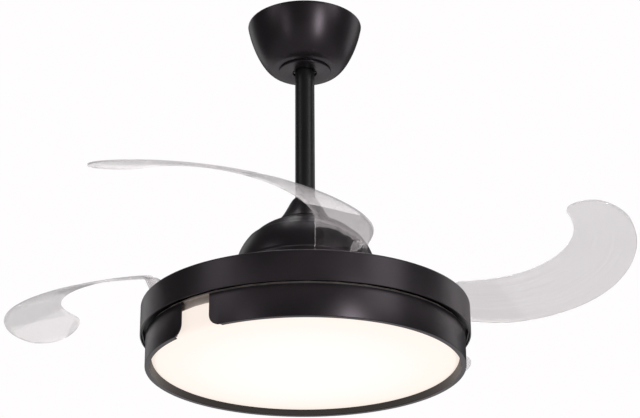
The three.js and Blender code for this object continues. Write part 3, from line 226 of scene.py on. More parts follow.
def coat_grain():
    """Shader group: fine grain and slow mottling for powder coats, mouldings and castings."""
    group = bpy.data.node_groups.new("fine_grain", "ShaderNodeTree")
    face = group.interface
    face.new_socket("Dark", in_out="INPUT", socket_type="NodeSocketColor")
    face.new_socket("Light", in_out="INPUT", socket_type="NodeSocketColor")
    usual = {"Grain Scale": 900, "Mottling Scale": 14, "Roughness": 0.45, "Spread": 0.08}
    for name, value in usual.items():
        face.new_socket(name, in_out="INPUT", socket_type="NodeSocketFloat").default_value = value
    face.new_socket("Colour", in_out="OUTPUT", socket_type="NodeSocketColor")
    face.new_socket("Roughness", in_out="OUTPUT", socket_type="NodeSocketFloat")
    face.new_socket("Height", in_out="OUTPUT", socket_type="NodeSocketFloat")
    add, link = group.nodes.new, group.links.new
    given, result = add("NodeGroupInput"), add("NodeGroupOutput")
    place = add("ShaderNodeTexCoord")
    grain, cloud = add("ShaderNodeTexNoise"), add("ShaderNodeTexNoise")
    grain.inputs["Detail"].default_value = 3
    cloud.inputs["Detail"].default_value = 4
    for texture, scale in ((grain, "Grain Scale"), (cloud, "Mottling Scale")):
        link(place.outputs["Object"], texture.inputs["Vector"])
        link(given.outputs[scale], texture.inputs["Scale"])
    share = add("ShaderNodeMath")
    share.operation = "MULTIPLY_ADD"
    share.inputs[1].default_value = GRAIN_SHARE
    link(grain.outputs["Fac"], share.inputs[0])
    rest = add("ShaderNodeMath")
    rest.operation = "MULTIPLY"
    rest.inputs[1].default_value = 1 - GRAIN_SHARE
    link(cloud.outputs["Fac"], rest.inputs[0])
    link(rest.outputs[0], share.inputs[2])
    tone = add("ShaderNodeMapRange")
    tone.inputs["From Min"].default_value = DARKEST
    tone.inputs["From Max"].default_value = LIGHTEST
    link(share.outputs[0], tone.inputs["Value"])
    mix = add("ShaderNodeMix")
    mix.data_type = "RGBA"
    link(tone.outputs[0], mix.inputs["Factor"])
    link(given.outputs["Dark"], mix.inputs["A"])
    link(given.outputs["Light"], mix.inputs["B"])
    link(mix.outputs["Result"], result.inputs["Colour"])
    rough = add("ShaderNodeMath")
    rough.operation = "MULTIPLY_ADD"
    link(tone.outputs[0], rough.inputs[0])
    link(given.outputs["Spread"], rough.inputs[1])
    link(given.outputs["Roughness"], rough.inputs[2])
    link(rough.outputs[0], result.inputs["Roughness"])
    link(grain.outputs["Fac"], result.inputs["Height"])
    return group


fine_grain = coat_grain()


def grained(name, dark, light, roughness, spread=0.08, grain=900, mottling=14, depth=0.05,
            metallic=0.0, gloss=0.5, sheen=(1, 1, 1)):
    """A material of the fine grain group. Gloss is how strongly it mirrors, sheen in what tint."""
    material = bpy.data.materials.new(name)
    material.use_nodes = True
    tree = material.node_tree
    shader = tree.nodes["Principled BSDF"]
    shader.inputs["Metallic"].default_value = metallic
    shader.inputs["Specular IOR Level"].default_value = gloss
    shader.inputs["Specular Tint"].default_value = (*sheen, 1)
    texture = tree.nodes.new("ShaderNodeGroup")
    texture.node_tree = fine_grain
    texture.inputs["Dark"].default_value = (*dark, 1)
    texture.inputs["Light"].default_value = (*light, 1)
    texture.inputs["Roughness"].default_value = roughness
    texture.inputs["Spread"].default_value = spread
    texture.inputs["Grain Scale"].default_value = grain
    texture.inputs["Mottling Scale"].default_value = mottling
    bump = tree.nodes.new("ShaderNodeBump")
    bump.inputs["Strength"].default_value = depth
    bump.inputs["Distance"].default_value = GRAIN_RELIEF
    tree.links.new(texture.outputs["Colour"], shader.inputs["Base Color"])
    tree.links.new(texture.outputs["Roughness"], shader.inputs["Roughness"])
    tree.links.new(texture.outputs["Height"], bump.inputs["Height"])
    tree.links.new(bump.outputs["Normal"], shader.inputs["Normal"])
    return material


def dressed(piece, material, body, slot, *stands_for):
    """Gives a new piece its material and its body, and hides the CAD nodes it stands for. The slot is
    not used.
    """
    piece.data.materials.append(material)
    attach(piece, body)
    if stands_for:
        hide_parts(*stands_for)
    return piece


COAT_DARK = (0.0065, 0.0056, 0.0064)
COAT_LIGHT = (0.0105, 0.0088, 0.0102)
satin_black = grained(
    "satin_black_powder_coat", COAT_DARK, COAT_LIGHT, 0.30, spread=0.07, gloss=0.34,
    sheen=(1, 0.86, 0.97))

CANOPY_WALL = 0.0015
CANOPY_FLAT = 0.044
ROD_HOLE = 0.017
BELL_LOWER_PULL = (0.715, 0.003)
BELL_UPPER_PULL = (0.926, 0.032)
BELL_STEPS = 28
low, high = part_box("canopy")
canopy_rim, canopy_bottom, canopy_top = high.y, low.z, high.z
bell = [(ROD_HOLE, canopy_bottom), (CANOPY_FLAT, canopy_bottom)] + swept(
    (CANOPY_FLAT, canopy_bottom),
    (canopy_rim * BELL_LOWER_PULL[0], canopy_bottom + BELL_LOWER_PULL[1]),
    (canopy_rim * BELL_UPPER_PULL[0], canopy_top - BELL_UPPER_PULL[1]),
    (canopy_rim, canopy_top), BELL_STEPS)[1:]
canopy = smooth(walled(spun("canopy_bell", bell, closed=False), CANOPY_WALL))
dressed(canopy, satin_black, "ceiling_mount", "graphite_coat", "canopy")


# ---------------------------------------------------------------- trim cup and canopy screws
# A shallow pressed cup snaps under the canopy over the two pan-head screws that hold it.
# The cup has a soft corner where the sheet was drawn, and the same black coat.

CUP_CORNER = 0.0010
CUP_WALL = 0.0012
THIN_EDGE = 0.0003
low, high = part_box("canopy_trim_cup")
cup_radius, cup_low, cup_top = high.y, low.z, high.z
cup_line = [(ROD_HOLE, cup_low), (cup_radius - CUP_CORNER, cup_low)]
cup_line += arc((cup_radius - CUP_CORNER, cup_low + CUP_CORNER), -80, 0, CUP_CORNER, 6)
cup_line += [(cup_radius, cup_top)]
cup = smooth(walled(spun("trim_cup", cup_line, closed=False), CUP_WALL, THIN_EDGE))
dressed(cup, satin_black, "ceiling_mount", "graphite_coat", "canopy_trim_cup")

bright_steel = grained(
    "zinc_plated_steel", (0.50, 0.50, 0.51), (0.66, 0.66, 0.67), 0.28, spread=0.14, grain=1400,
    mottling=60, depth=0.03, metallic=1.0)


def cad_finish(material, *names):
    """Gives carried-over CAD nodes a material."""
    for name in names:
        nodes[name].material_slots[0].material = material


cad_finish(bright_steel, "canopy_screw_1", "canopy_screw_2")


# ---------------------------------------------------------------- ceiling bracket
# A strap of zinc-plated steel, bent into a stirrup with two ears that screw to the ceiling.
# Its bends and slots have the soft edges of pressed plate.

plated_strap = grained(
    "hanger_zinc_plate", (0.40, 0.41, 0.42), (0.58, 0.58, 0.57), 0.34, spread=0.18, grain=1100,
    mottling=35, depth=0.04, metallic=1.0)

FLATNESS = 1


def eased(name, node, width, limit=30):
    """A copy of a CAD node with its triangles merged into plain faces and its edges rounded."""
    bm = bmesh.new()
    bm.from_mesh(nodes[node].data)
    bmesh.ops.remove_doubles(bm, verts=bm.verts, dist=1e-6)
    bmesh.ops.dissolve_limit(
        bm, angle_limit=radians(FLATNESS), verts=bm.verts, edges=bm.edges,
        use_dissolve_boundaries=False)
    return smooth(rounded(place_mesh(name, bm), width, limit=limit))


bracket = eased("ceiling_bracket", "hanger_bracket", 0.0006, limit=50)
dressed(bracket, plated_strap, "ceiling_mount", "hanger_zinc", "hanger_bracket")


# ---------------------------------------------------------------- hanger ball and rod
# A black nylon ball sits in the stirrup's saddle. A cross pin locks the pipe in it.
# The rod is steel pipe, with a slightly duller black coat than the canopy's.

BALL_STEPS = 96
BALL_ARC_STEPS = 26
BALL_CROWN = 38.3
ROD_CLEARANCE = 0.0003
low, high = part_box("downrod")
rod_radius, rod_bottom, rod_top = high.y, low.z, high.z
fit_radius = rod_radius + ROD_CLEARANCE
low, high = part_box("hanger_ball")
ball_radius = high.y
ball_middle = low.z + sqrt(ball_radius ** 2 - fit_radius ** 2)
lowest = -90 + asin(fit_radius / ball_radius) * 180 / pi
ball_line = arc((0, ball_middle), lowest, BALL_CROWN, ball_radius, BALL_ARC_STEPS)
ball_line += [(fit_radius, ball_line[-1][1])]
ball = smooth(rounded(spun("nylon_ball", ball_line, BALL_STEPS), 0.0004))
black_nylon = grained(
    "black_nylon", (0.016, 0.016, 0.017), (0.026, 0.026, 0.028), 0.42, spread=0.1, grain=1500,
    mottling=25, depth=0.06)
dressed(ball, black_nylon, "suspension", "ball_nylon", "hanger_ball")
cad_finish(bright_steel, "ball_pin")

ROD_WALL = 0.00235
ROD_STEPS = 72
EDGE_EASE = 0.0005
bore = rod_radius - ROD_WALL
rod_line = [
    (bore, rod_bottom), (rod_radius - EDGE_EASE, rod_bottom), (rod_radius, rod_bottom + EDGE_EASE),
    (rod_radius, rod_top - EDGE_EASE), (rod_radius - EDGE_EASE, rod_top), (bore, rod_top)]
rod = smooth(spun("down_rod", rod_line, ROD_STEPS))
rod_black = grained(
    "rod_powder_coat", (0.0060, 0.0054, 0.0060), (0.0092, 0.0083, 0.0092), 0.36, spread=0.06,
    gloss=0.28)
dressed(rod, rod_black, "suspension", "rod_coat", "downrod")


# ---------------------------------------------------------------- coupling and its cover
# A cast collar is pinned round the rod's foot. A thin flared cover slides down over it
# and rests on the motor cover with a fine seam.

FLARE_WALL = 0.0012
FLARE_FOOT = 0.0015
FLARE_LOWER_PULL = (0.013, 0.015)
FLARE_UPPER_PULL = (0.0085, 0.006)
FLARE_STEPS = 96
FLARE_ROWS = 24
low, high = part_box("coupling_cover")
flare_radius, flare_low, flare_top = high.y, low.z, high.z
flare = [(flare_radius, flare_low)] + swept(
    (flare_radius, flare_low + FLARE_FOOT),
    (flare_radius - FLARE_LOWER_PULL[0], flare_low + FLARE_LOWER_PULL[1]),
    (fit_radius + FLARE_UPPER_PULL[0], flare_top - FLARE_UPPER_PULL[1]),
    (fit_radius + FLARE_WALL, flare_top), FLARE_ROWS)
cover = smooth(walled(spun("flared_cover", flare, FLARE_STEPS, closed=False), FLARE_WALL, THIN_EDGE))
dressed(cover, satin_black, "suspension", "graphite_coat", "coupling_cover")

cast_grey = grained(
    "cast_coupling_grey", (0.09, 0.09, 0.095), (0.15, 0.15, 0.155), 0.5, spread=0.15, grain=500,
    mottling=40, depth=0.25, metallic=0.8)
cad_finish(cast_grey, "motor_yoke")
cad_finish(bright_steel, "rod_pin")


# ---------------------------------------------------------------- motor cover
# Pressed steel: a straight skirt, a rounded crown with a crease half way up, and a flat seat
# for the flared cover. It stands still while the blades turn under it.

SKIRT_HEIGHT = 0.052
SHOULDER_STEP = 0.0015
SHOULDER_EASE = 0.002
CROWN_LOWER_PULL = (0.004, 0.032)
CROWN_UPPER_PULL = (1.67, 0.0062)
CROWN_ROWS = 36
CREASE = 0.0019
CREASE_ROW = 18
SEAT_RADIUS = 0.039
SEAT_DROP = 0.001
SEAT_CORNER = 0.003
SEAT_HOLE_GAP = 0.005
COVER_WALL = 0.0015
low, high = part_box("motor_cover")
skirt_radius, skirt_low, seat_height = high.y, low.z, high.z
shoulder = skirt_low + SKIRT_HEIGHT
crown_line = swept(
    (skirt_radius - SHOULDER_STEP, shoulder),
    (skirt_radius - CROWN_LOWER_PULL[0], shoulder + CROWN_LOWER_PULL[1]),
    (SEAT_RADIUS * CROWN_UPPER_PULL[0], seat_height - CROWN_UPPER_PULL[1]),
    (SEAT_RADIUS, seat_height - SEAT_DROP), CROWN_ROWS)
stepped = crown_line[:CREASE_ROW] + [(r - CREASE, z) for r, z in crown_line[CREASE_ROW:]]
dome_line = [(skirt_radius, skirt_low), (skirt_radius, shoulder - SHOULDER_EASE)] + stepped
dome_line += [(SEAT_RADIUS - SEAT_CORNER, seat_height), (fit_radius + SEAT_HOLE_GAP, seat_height)]
dome = smooth(walled(spun("domed_motor_cover", dome_line, closed=False), COVER_WALL))
dressed(dome, satin_black, "suspension", "graphite_coat", "motor_cover")


# ---------------------------------------------------------------- motor
# An outrunner: the wound stator is fixed to the hollow shaft, and the die-cast case with its
# magnets turns round it on two sealed bearings. Only the case's flange shows beside the cover,
# with the eight bolts that hold the blade carrier to it.

cast_alloy = grained(
    "die_cast_aluminium", (0.42, 0.43, 0.44), (0.58, 0.59, 0.60), 0.42, spread=0.16, grain=700,
    mottling=30, depth=0.15, metallic=1.0)
varnish = grained(
    "stator_varnish", (0.16, 0.045, 0.015), (0.42, 0.16, 0.06), 0.35, spread=0.2, grain=420,
    mottling=90, depth=0.4, metallic=0.5)
ferrite_grey = grained(
    "ferrite_grey", (0.05, 0.05, 0.052), (0.09, 0.09, 0.094), 0.6, spread=0.12, grain=800,
    mottling=50, depth=0.2)
ground_steel = grained(
    "ground_bearing_steel", (0.55, 0.55, 0.56), (0.72, 0.72, 0.73), 0.16, spread=0.1, grain=1600,
    mottling=80, depth=0.02, metallic=1.0)
cad_finish(bright_steel, "motor_shaft", "shaft_nut")
cad_finish(varnish, "stator")
cad_finish(ferrite_grey, "magnet_ring")
cad_finish(ground_steel, "lower_bearing", "upper_bearing")
cad_finish(cast_alloy, "motor_case_upper")

CASE_STEPS = 120
CASE_RADIUS = 0.076
CASE_WALL = 0.003
CASE_FILLET = 0.002
FLANGE_EASE = 0.0008
SHAFT_HOLE = 0.012
COLLAR_RADIUS = 0.0233
COLLAR_HEIGHT = 0.007
BEARING_SEAT = 0.0203
SEAT_DEPTH = 0.001
low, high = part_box("motor_case_lower")
flange_radius, flange_low, wall_top = high.y, low.z, high.z
flange_top = flange_low + CASE_WALL
case_line = [
    (SHAFT_HOLE, flange_low), (flange_radius - FLANGE_EASE, flange_low),
    (flange_radius, flange_low + FLANGE_EASE), (flange_radius, flange_top - FLANGE_EASE),
    (flange_radius - FLANGE_EASE, flange_top), (CASE_RADIUS + CASE_FILLET, flange_top),
    (CASE_RADIUS, flange_top + CASE_FILLET), (CASE_RADIUS, wall_top),
    (CASE_RADIUS - CASE_WALL, wall_top), (CASE_RADIUS - CASE_WALL, flange_top),
    (COLLAR_RADIUS, flange_top), (COLLAR_RADIUS, flange_top + COLLAR_HEIGHT),
    (BEARING_SEAT, flange_top + COLLAR_HEIGHT), (BEARING_SEAT, flange_top - SEAT_DEPTH),
    (SHAFT_HOLE, flange_top - SEAT_DEPTH)]
case = smooth(spun("lower_motor_case", case_line, CASE_STEPS))
dressed(case, cast_alloy, "rotor", "motor_alloy", "motor_case_lower")

BOLT_CIRCLE = 0.101
BOLT_COUNT = 8
BOLT_HEAD_RADIUS = 0.0032
BOLT_HEAD_HEIGHT = 0.0022
HEAD_SIDES = 24
HEAD_EASE = 0.35
HEAD_REACH = 1.2
SOCKET_RIM = 0.35
SOCKET_DEPTH = 0.55


def height_of(face):
    """Height of a face's middle."""
    return face.calc_center_median().z


def screw_head(bm, place, radius, height):
    """Adds a round screw head with a round socket, standing up from a place."""
    place = Vector(place)
    middle = Matrix.Translation(place + Vector((0, 0, height / 2)))
    head = bmesh.ops.create_cone(
        bm, cap_ends=True, segments=HEAD_SIDES, radius1=radius, radius2=radius, depth=height,
        matrix=middle)["verts"]
    top = max({f for v in head for f in v.link_faces}, key=height_of)
    bmesh.ops.bevel(
        bm, geom=list(top.edges), offset=height * HEAD_EASE, segments=3, profile=0.5,
        affect="EDGES", material=-1)
    discs = [f for f in bm.faces if len(f.verts) == HEAD_SIDES
             and (f.calc_center_median() - place).length < height * HEAD_REACH]
    top = max(discs, key=height_of)
    bmesh.ops.inset_individual(bm, faces=[top], thickness=radius * SOCKET_RIM)
    pressed = bmesh.ops.extrude_face_region(bm, geom=[top])["geom"]
    moved = [v for v in pressed if isinstance(v, bmesh.types.BMVert)]
    bmesh.ops.delete(bm, geom=[top], context="FACES_ONLY")
    bmesh.ops.translate(bm, verts=moved, vec=(0, 0, -height * SOCKET_DEPTH))


bm = bmesh.new()
for i in range(BOLT_COUNT):
    angle = 2 * pi * i / BOLT_COUNT
    spot = (BOLT_CIRCLE * cos(angle), BOLT_CIRCLE * sin(angle), flange_top)
    screw_head(bm, spot, BOLT_HEAD_RADIUS, BOLT_HEAD_HEIGHT)
bmesh.ops.recalc_face_normals(bm, faces=bm.faces)
dressed(smooth(place_mesh("flange_bolts", bm)), bright_steel, "rotor", "fastener_steel")


# ---------------------------------------------------------------- blade carrier
# A pressed steel dish bolted to the motor case and painted black. Its rim holds a sleeve, a
# spring peg and a stop post for each blade. The acetal gear that links the blades turns on it.

carrier_black = grained(
    "carrier_black_paint", (0.014, 0.013, 0.014), (0.024, 0.022, 0.024), 0.4, spread=0.12,
    grain=700, mottling=20)
carrier = eased("blade_carrier_dish", "blade_carrier", 0.0004, limit=25)
dressed(carrier, carrier_black, "rotor", "carrier_coat", "blade_carrier")

natural_acetal = grained(
    "natural_acetal", (0.62, 0.60, 0.54), (0.74, 0.72, 0.66), 0.38, spread=0.08, grain=1200,
    mottling=20, depth=0.04)
ring_gear = eased("ring_gear", "sync_ring_gear", 0.0002, limit=25)
dressed(ring_gear, natural_acetal, "sync_ring", "gear_acetal", "sync_ring_gear")


# ---------------------------------------------------------------- lamp drum
# Two sheet-steel rings. The upper one, with a rolled lip, hides the roots of the blades. The
# lower one is open, and a notch cut through its front shows the tray's bright edge. Its coat is
# glossier inside, and a lighter band along its upper corner is a painted highlight.

DRUM_STEPS = 192
RING_WALL = 0.0015
RING_EASE = 0.0004
RING_CORNER = 0.0028
RING_FILLET = 0.001
LIP = 0.008
LIP_ROLL = 0.0007
LIP_DEPTH = 0.003
LEDGE_DROP = 0.0235
low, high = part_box("upper_ring")
drum_radius, ring_low, ring_top = high.y, low.z, high.z
inside = drum_radius - RING_WALL
under_top = ring_top - RING_WALL
ledge = ring_top - LEDGE_DROP
lip_edge = drum_radius - LIP
upper_line = [
    (inside, ring_low), (drum_radius - RING_EASE, ring_low), (drum_radius, ring_low + RING_EASE)]
upper_line += arc((drum_radius - RING_CORNER, ring_top - RING_CORNER), 0, 90, RING_CORNER, 8)
upper_line += arc((lip_edge + LIP_ROLL, ring_top - LIP_ROLL), 90, 180, LIP_ROLL, 3)
upper_line += [
    (lip_edge, ring_top - LIP_DEPTH), (lip_edge + RING_WALL, ring_top - LIP_DEPTH),
    (lip_edge + RING_WALL, under_top), (inside - RING_FILLET, under_top),
    (inside, under_top - RING_FILLET), (inside, ledge + RING_WALL),
    (inside - LIP, ledge + RING_WALL), (inside - LIP, ledge), (inside, ledge)]
upper_ring = smooth(spun("upper_drum_ring", upper_line, DRUM_STEPS))
dressed(upper_ring, satin_black, "suspension", "graphite_coat", "upper_ring")

NOTCH_AZIMUTH = -130.8
NOTCH_WIDTH = 0.047
NOTCH_CORNER = 0.015
LOWER_LIP = 0.0064
UPPER_LIP_RADIUS = 0.2033
LOW_CORNER = 0.0009
TOP_CORNER = 0.0011
low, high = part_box("lower_ring")
band_radius, band_low, band_top = high.y, low.z, high.z
band_inside = band_radius - RING_WALL
lower_lip_edge = band_radius - LOWER_LIP
band_line = [(lower_lip_edge, band_low)]
band_line += arc((band_radius - LOW_CORNER, band_low + LOW_CORNER), -90, 0, LOW_CORNER, 4)
band_line += arc((band_radius - TOP_CORNER, band_top - TOP_CORNER), 0, 90, TOP_CORNER, 5)
band_line += [
    (UPPER_LIP_RADIUS, band_top), (UPPER_LIP_RADIUS, band_top - RING_WALL),
    (band_inside, band_top - RING_WALL), (band_inside, band_low + RING_WALL),
    (lower_lip_edge, band_low + RING_WALL)]
lower_ring = spun("lower_drum_ring", band_line, DRUM_STEPS)


def cut_out(piece, tool):
    """Takes the tool's volume out of the piece, and removes the tool."""
    bite = piece.modifiers.new("cut", "BOOLEAN")
    bite.operation = "DIFFERENCE"
    bite.solver = "EXACT"
    bite.object = tool
    bpy.context.view_layer.update()
    cut = piece.evaluated_get(bpy.context.evaluated_depsgraph_get())
    shaped = bpy.data.meshes.new_from_object(cut)
    piece.modifiers.clear()
    piece.data = shaped
    bpy.data.objects.remove(tool)
    return piece


def turned(bm, degrees):
    """Turns a whole bmesh about the fan's axis."""
    bmesh.ops.rotate(
        bm, verts=bm.verts, cent=(0, 0, 0), matrix=Matrix.Rotation(radians(degrees), 3, "Z"))


CUT_PAST = 0.001
NOTCH_CUT_INSET = 0.02
NOTCH_CUT_LENGTH = 0.03
RELIEF_LENGTH = 0.0074
RELIEF_HEIGHT = 0.0045
RELIEF_INSET = 0.0076

bm = bmesh.new()
half = NOTCH_WIDTH / 2
corner = arc((0, band_low + NOTCH_CORNER), 0, -90, NOTCH_CORNER, 10)
flank = [(half, band_top + CUT_PAST)]
flank += [(half + NOTCH_CORNER - x, z) for x, z in corner]
flank += [(half + NOTCH_CORNER, band_low - CUT_PAST)]
profile = flank + [(-y, z) for y, z in reversed(flank)]
face = bm.faces.new([bm.verts.new((band_radius - NOTCH_CUT_INSET, y, z)) for y, z in profile])
side = bmesh.ops.extrude_face_region(bm, geom=[face])["geom"]
moved = [v for v in side if isinstance(v, bmesh.types.BMVert)]
bmesh.ops.translate(bm, verts=moved, vec=(NOTCH_CUT_LENGTH, 0, 0))
bmesh.ops.recalc_face_normals(bm, faces=bm.faces)
turned(bm, NOTCH_AZIMUTH)
cut_out(lower_ring, place_mesh("notch_tool", bm))

bm = bmesh.new()
bmesh.ops.create_cube(bm, size=1)
bmesh.ops.scale(
    bm, verts=bm.verts, vec=(RELIEF_LENGTH, 2 * (half + NOTCH_CORNER), RELIEF_HEIGHT))
bmesh.ops.translate(bm, verts=bm.verts, vec=(band_inside - RELIEF_INSET, 0, band_low))
turned(bm, NOTCH_AZIMUTH)
smooth(cut_out(lower_ring, place_mesh("lip_relief_tool", bm)))
dressed(lower_ring, satin_black, "suspension", "graphite_coat", "lower_ring")

GLOSS_SLOT, PAINTED_HIGHLIGHT_SLOT = 1, 2
PAINTED_HIGHLIGHT_HEIGHT = 0.0016
PAINTED_HIGHLIGHT_WIDTH = 0.0014
ON_THE_WALL = 0.0003
inside_gloss = grained("gloss_black_inside", COAT_DARK, COAT_LIGHT, 0.17, spread=0.05, gloss=0.5)
# A lighter, part-metallic black for the lower ring's upper outer corner: a painted highlight where light
# catches the edge.
painted_highlight_edge = grained(
    "painted_highlight_black_edge", (0.24, 0.23, 0.24), (0.36, 0.34, 0.36), 0.28, spread=0.08, metallic=0.6)
lower_ring.data.materials.append(inside_gloss)
lower_ring.data.materials.append(painted_highlight_edge)
# Faces on the upper outer corner take the painted highlight; faces on the inner wall take the glossier
# black.
for face in lower_ring.data.polygons:
    reach = hypot(face.center.x, face.center.y)
    if face.center.z > band_top - PAINTED_HIGHLIGHT_HEIGHT and reach > band_radius - PAINTED_HIGHLIGHT_WIDTH:
        face.material_index = PAINTED_HIGHLIGHT_SLOT
    elif abs(reach - band_inside) < ON_THE_WALL:
        face.material_index = GLOSS_SLOT

cad_finish(carrier_black, "lamp_pan")


# ---------------------------------------------------------------- lamp tray and board
# A spun aluminium tray carries the white board and cools it. Its skirt shows in the notch as
# a pale metal strip above the diffuser. The driver and the receiver are in moulded cases.

mill_aluminium = grained(
    "mill_finish_aluminium", (0.44, 0.37, 0.33), (0.62, 0.54, 0.49), 0.42, spread=0.15, grain=500,
    mottling=60, depth=0.06, metallic=0.55)
tray = eased("lamp_tray_dish", "lamp_tray", 0.0003, limit=25)
dressed(tray, mill_aluminium, "suspension", "tray_alloy", "lamp_tray")

white_mask = grained(
    "white_solder_mask", (0.72, 0.72, 0.69), (0.82, 0.82, 0.80), 0.4, spread=0.1, grain=900,
    mottling=40, depth=0.03)
cad_finish(white_mask, "lamp_board")

pale_casing = grained(
    "pale_moulded_casing", (0.66, 0.66, 0.64), (0.76, 0.76, 0.74), 0.5, spread=0.1, grain=1300,
    mottling=30, depth=0.08)
for name in ("lamp_driver", "remote_receiver"):
    dressed(eased(name + "_case", name, 0.0008), pale_casing, "suspension", "case_plastic", name)
for k in range(1, 5):
    cad_finish(bright_steel, f"pan_screw_{k}")


# ---------------------------------------------------------------- diffuser
# A shallow bowl of opal acrylic, lit from behind by the board. It glows warm white, a little
# brighter in the middle than at its rim.

BOWL_RADIUS = 0.1995
BOWL_WALL = 0.002
BOWL_CORNER = 0.0085
CORNER_LIFT = 0.0032
CORNER_SHARE = 1.3
BELLY = 0.0035
BELLY_STEPS = 12
low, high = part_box("diffuser")
bowl_low, bowl_top = low.z, high.z
bowl_line = [(0, bowl_low)]
for i in range(1, BELLY_STEPS + 1):
    r = (BOWL_RADIUS - BOWL_CORNER * CORNER_SHARE) * i / BELLY_STEPS
    bowl_line.append((r, bowl_low + BELLY * (r / BOWL_RADIUS) ** 2))
corner_middle = (BOWL_RADIUS - BOWL_CORNER, bowl_low + BOWL_CORNER + CORNER_LIFT)
bowl_line += arc(corner_middle, -78, 0, BOWL_CORNER, 12)
bowl_line += [(BOWL_RADIUS, bowl_top)]
bowl = smooth(walled(spun("opal_bowl", bowl_line, DRUM_STEPS, closed=False), BOWL_WALL, THIN_EDGE))

BRIGHT_RADIUS = 0.07
opal = bpy.data.materials.new("lit_opal_acrylic")
opal.use_nodes = True
tree = opal.node_tree
shader = tree.nodes["Principled BSDF"]
shader.inputs["Emission Strength"].default_value = 0.88
place = tree.nodes.new("ShaderNodeTexCoord")
reach = tree.nodes.new("ShaderNodeVectorMath")
reach.operation = "MULTIPLY"
reach.inputs[1].default_value = (1, 1, 0)
distance = tree.nodes.new("ShaderNodeVectorMath")
distance.operation = "LENGTH"
falloff = tree.nodes.new("ShaderNodeMapRange")
falloff.interpolation_type = "SMOOTHSTEP"
falloff.inputs["From Min"].default_value = BRIGHT_RADIUS
falloff.inputs["From Max"].default_value = BOWL_RADIUS
glow = tree.nodes.new("ShaderNodeMix")
glow.data_type = "RGBA"
glow.inputs["A"].default_value = (1.0, 0.965, 0.93, 1)
glow.inputs["B"].default_value = (1.0, 0.89, 0.81, 1)
tree.links.new(place.outputs["Object"], reach.inputs[0])
tree.links.new(reach.outputs[0], distance.inputs[0])
tree.links.new(distance.outputs["Value"], falloff.inputs["Value"])
tree.links.new(falloff.outputs[0], glow.inputs["Factor"])
tree.links.new(glow.outputs["Result"], shader.inputs["Emission Color"])
milk = tree.nodes.new("ShaderNodeGroup")
milk.node_tree = fine_grain
milk.inputs["Dark"].default_value = (0.10, 0.095, 0.09, 1)
milk.inputs["Light"].default_value = (0.12, 0.115, 0.11, 1)
milk.inputs["Roughness"].default_value = 0.34
tree.links.new(milk.outputs["Colour"], shader.inputs["Base Color"])
tree.links.new(milk.outputs["Roughness"], shader.inputs["Roughness"])
dressed(bowl, opal, "lamp_bowl", "opal_diffuser", "diffuser")


# ---------------------------------------------------------------- blades
# Clear moulded plastic, 2.2 mm thick. Folded, each blade is a band of a cone round the fan's
# axis, so that it lies over the drum. It rises from a flat round root and ends in a hooked tip.

BLADE_THICKNESS = 0.0022
BLADE_EDGE = 0.0007
PIVOT_RADIUS = 0.165
PIVOT_AZIMUTH = 13.4
OPEN_ANGLE = 89.5
ROOT_RADIUS = 0.031
BAND_INNER = 0.135
BAND_OUTER = 0.2145
INNER_WIDENING = 0.006
OUTER_WIDENING = 0.0058
WIDEST_INSIDE = 120
WIDENS_OUTSIDE_FROM = 90
ROOT_END = 40
SPAN = 142.3
TIP_LENGTH = 13.2
TIP_CUT_INSIDE = 0.0488
TIP_CUT_OUTSIDE = 0.0294


def ease(value, low, high):
    """Rises smoothly from 0 at low to 1 at high."""
    t = min(max((value - low) / (high - low), 0), 1)
    return t * t * (3 - 2 * t)


def blade_edges(angle):
    """Inner and outer radius of a folded blade at an angle from its pivot, in degrees."""
    inner = BAND_INNER + INNER_WIDENING * ease(angle, ROOT_END, WIDEST_INSIDE)
    outer = PIVOT_RADIUS + ROOT_RADIUS
    outer += (BAND_OUTER - PIVOT_RADIUS - ROOT_RADIUS) * ease(angle, 0, ROOT_END)
    outer += OUTER_WIDENING * ease(angle, WIDENS_OUTSIDE_FROM, SPAN)
    if angle < 0:
        half = sqrt(max(ROOT_RADIUS ** 2 - (PIVOT_RADIUS * radians(angle)) ** 2, 1e-7))
        inner, outer = PIVOT_RADIUS - half, PIVOT_RADIUS + half
    past = min(max((angle - SPAN + TIP_LENGTH) / TIP_LENGTH, 0), 1)
    corner = 1 - sqrt(max(1 - past ** 2, 0))
    return inner + TIP_CUT_INSIDE * corner, outer - TIP_CUT_OUTSIDE * corner


DRUM_BASE = -0.503
ROOT_HEIGHT = 0.0854 + DRUM_BASE
INNER_HEIGHT = 0.1268
INNER_RISE = 0.0179
INNER_RISE_END = 145
OUTER_HEIGHT = 0.0918
OUTER_RISE = 0.035
OUTER_RISE_START = 50
OUTER_RISE_POWER = 1.7
CROWNING = 0.002
FLAT_UNTIL = 0.033
BAND_FROM = 0.050


def blade_height(radius, angle):
    """Height of a blade's middle surface: flat round the pivot, then a band of a cone."""
    if angle <= 0:
        return ROOT_HEIGHT
    across = (radius - BAND_INNER) / (BAND_OUTER - BAND_INNER)
    inner = INNER_HEIGHT + INNER_RISE * ease(angle, ROOT_END, INNER_RISE_END)
    risen = max((angle - OUTER_RISE_START) / (SPAN - OUTER_RISE_START), 0) ** OUTER_RISE_POWER
    outer = OUTER_HEIGHT + OUTER_RISE * risen
    band = inner + (outer - inner) * across + CROWNING * across * (1 - across) + DRUM_BASE
    turn = radians(angle)
    from_pivot = hypot(radius * cos(turn) - PIVOT_RADIUS, radius * sin(turn))
    return ROOT_HEIGHT + (band - ROOT_HEIGHT) * ease(from_pivot, FLAT_UNTIL, BAND_FROM)


ROOT_ROWS = 0.14
RISING_ROWS = 0.18
TIP_ROWS = 0.16
RISING_ANGLE = 22


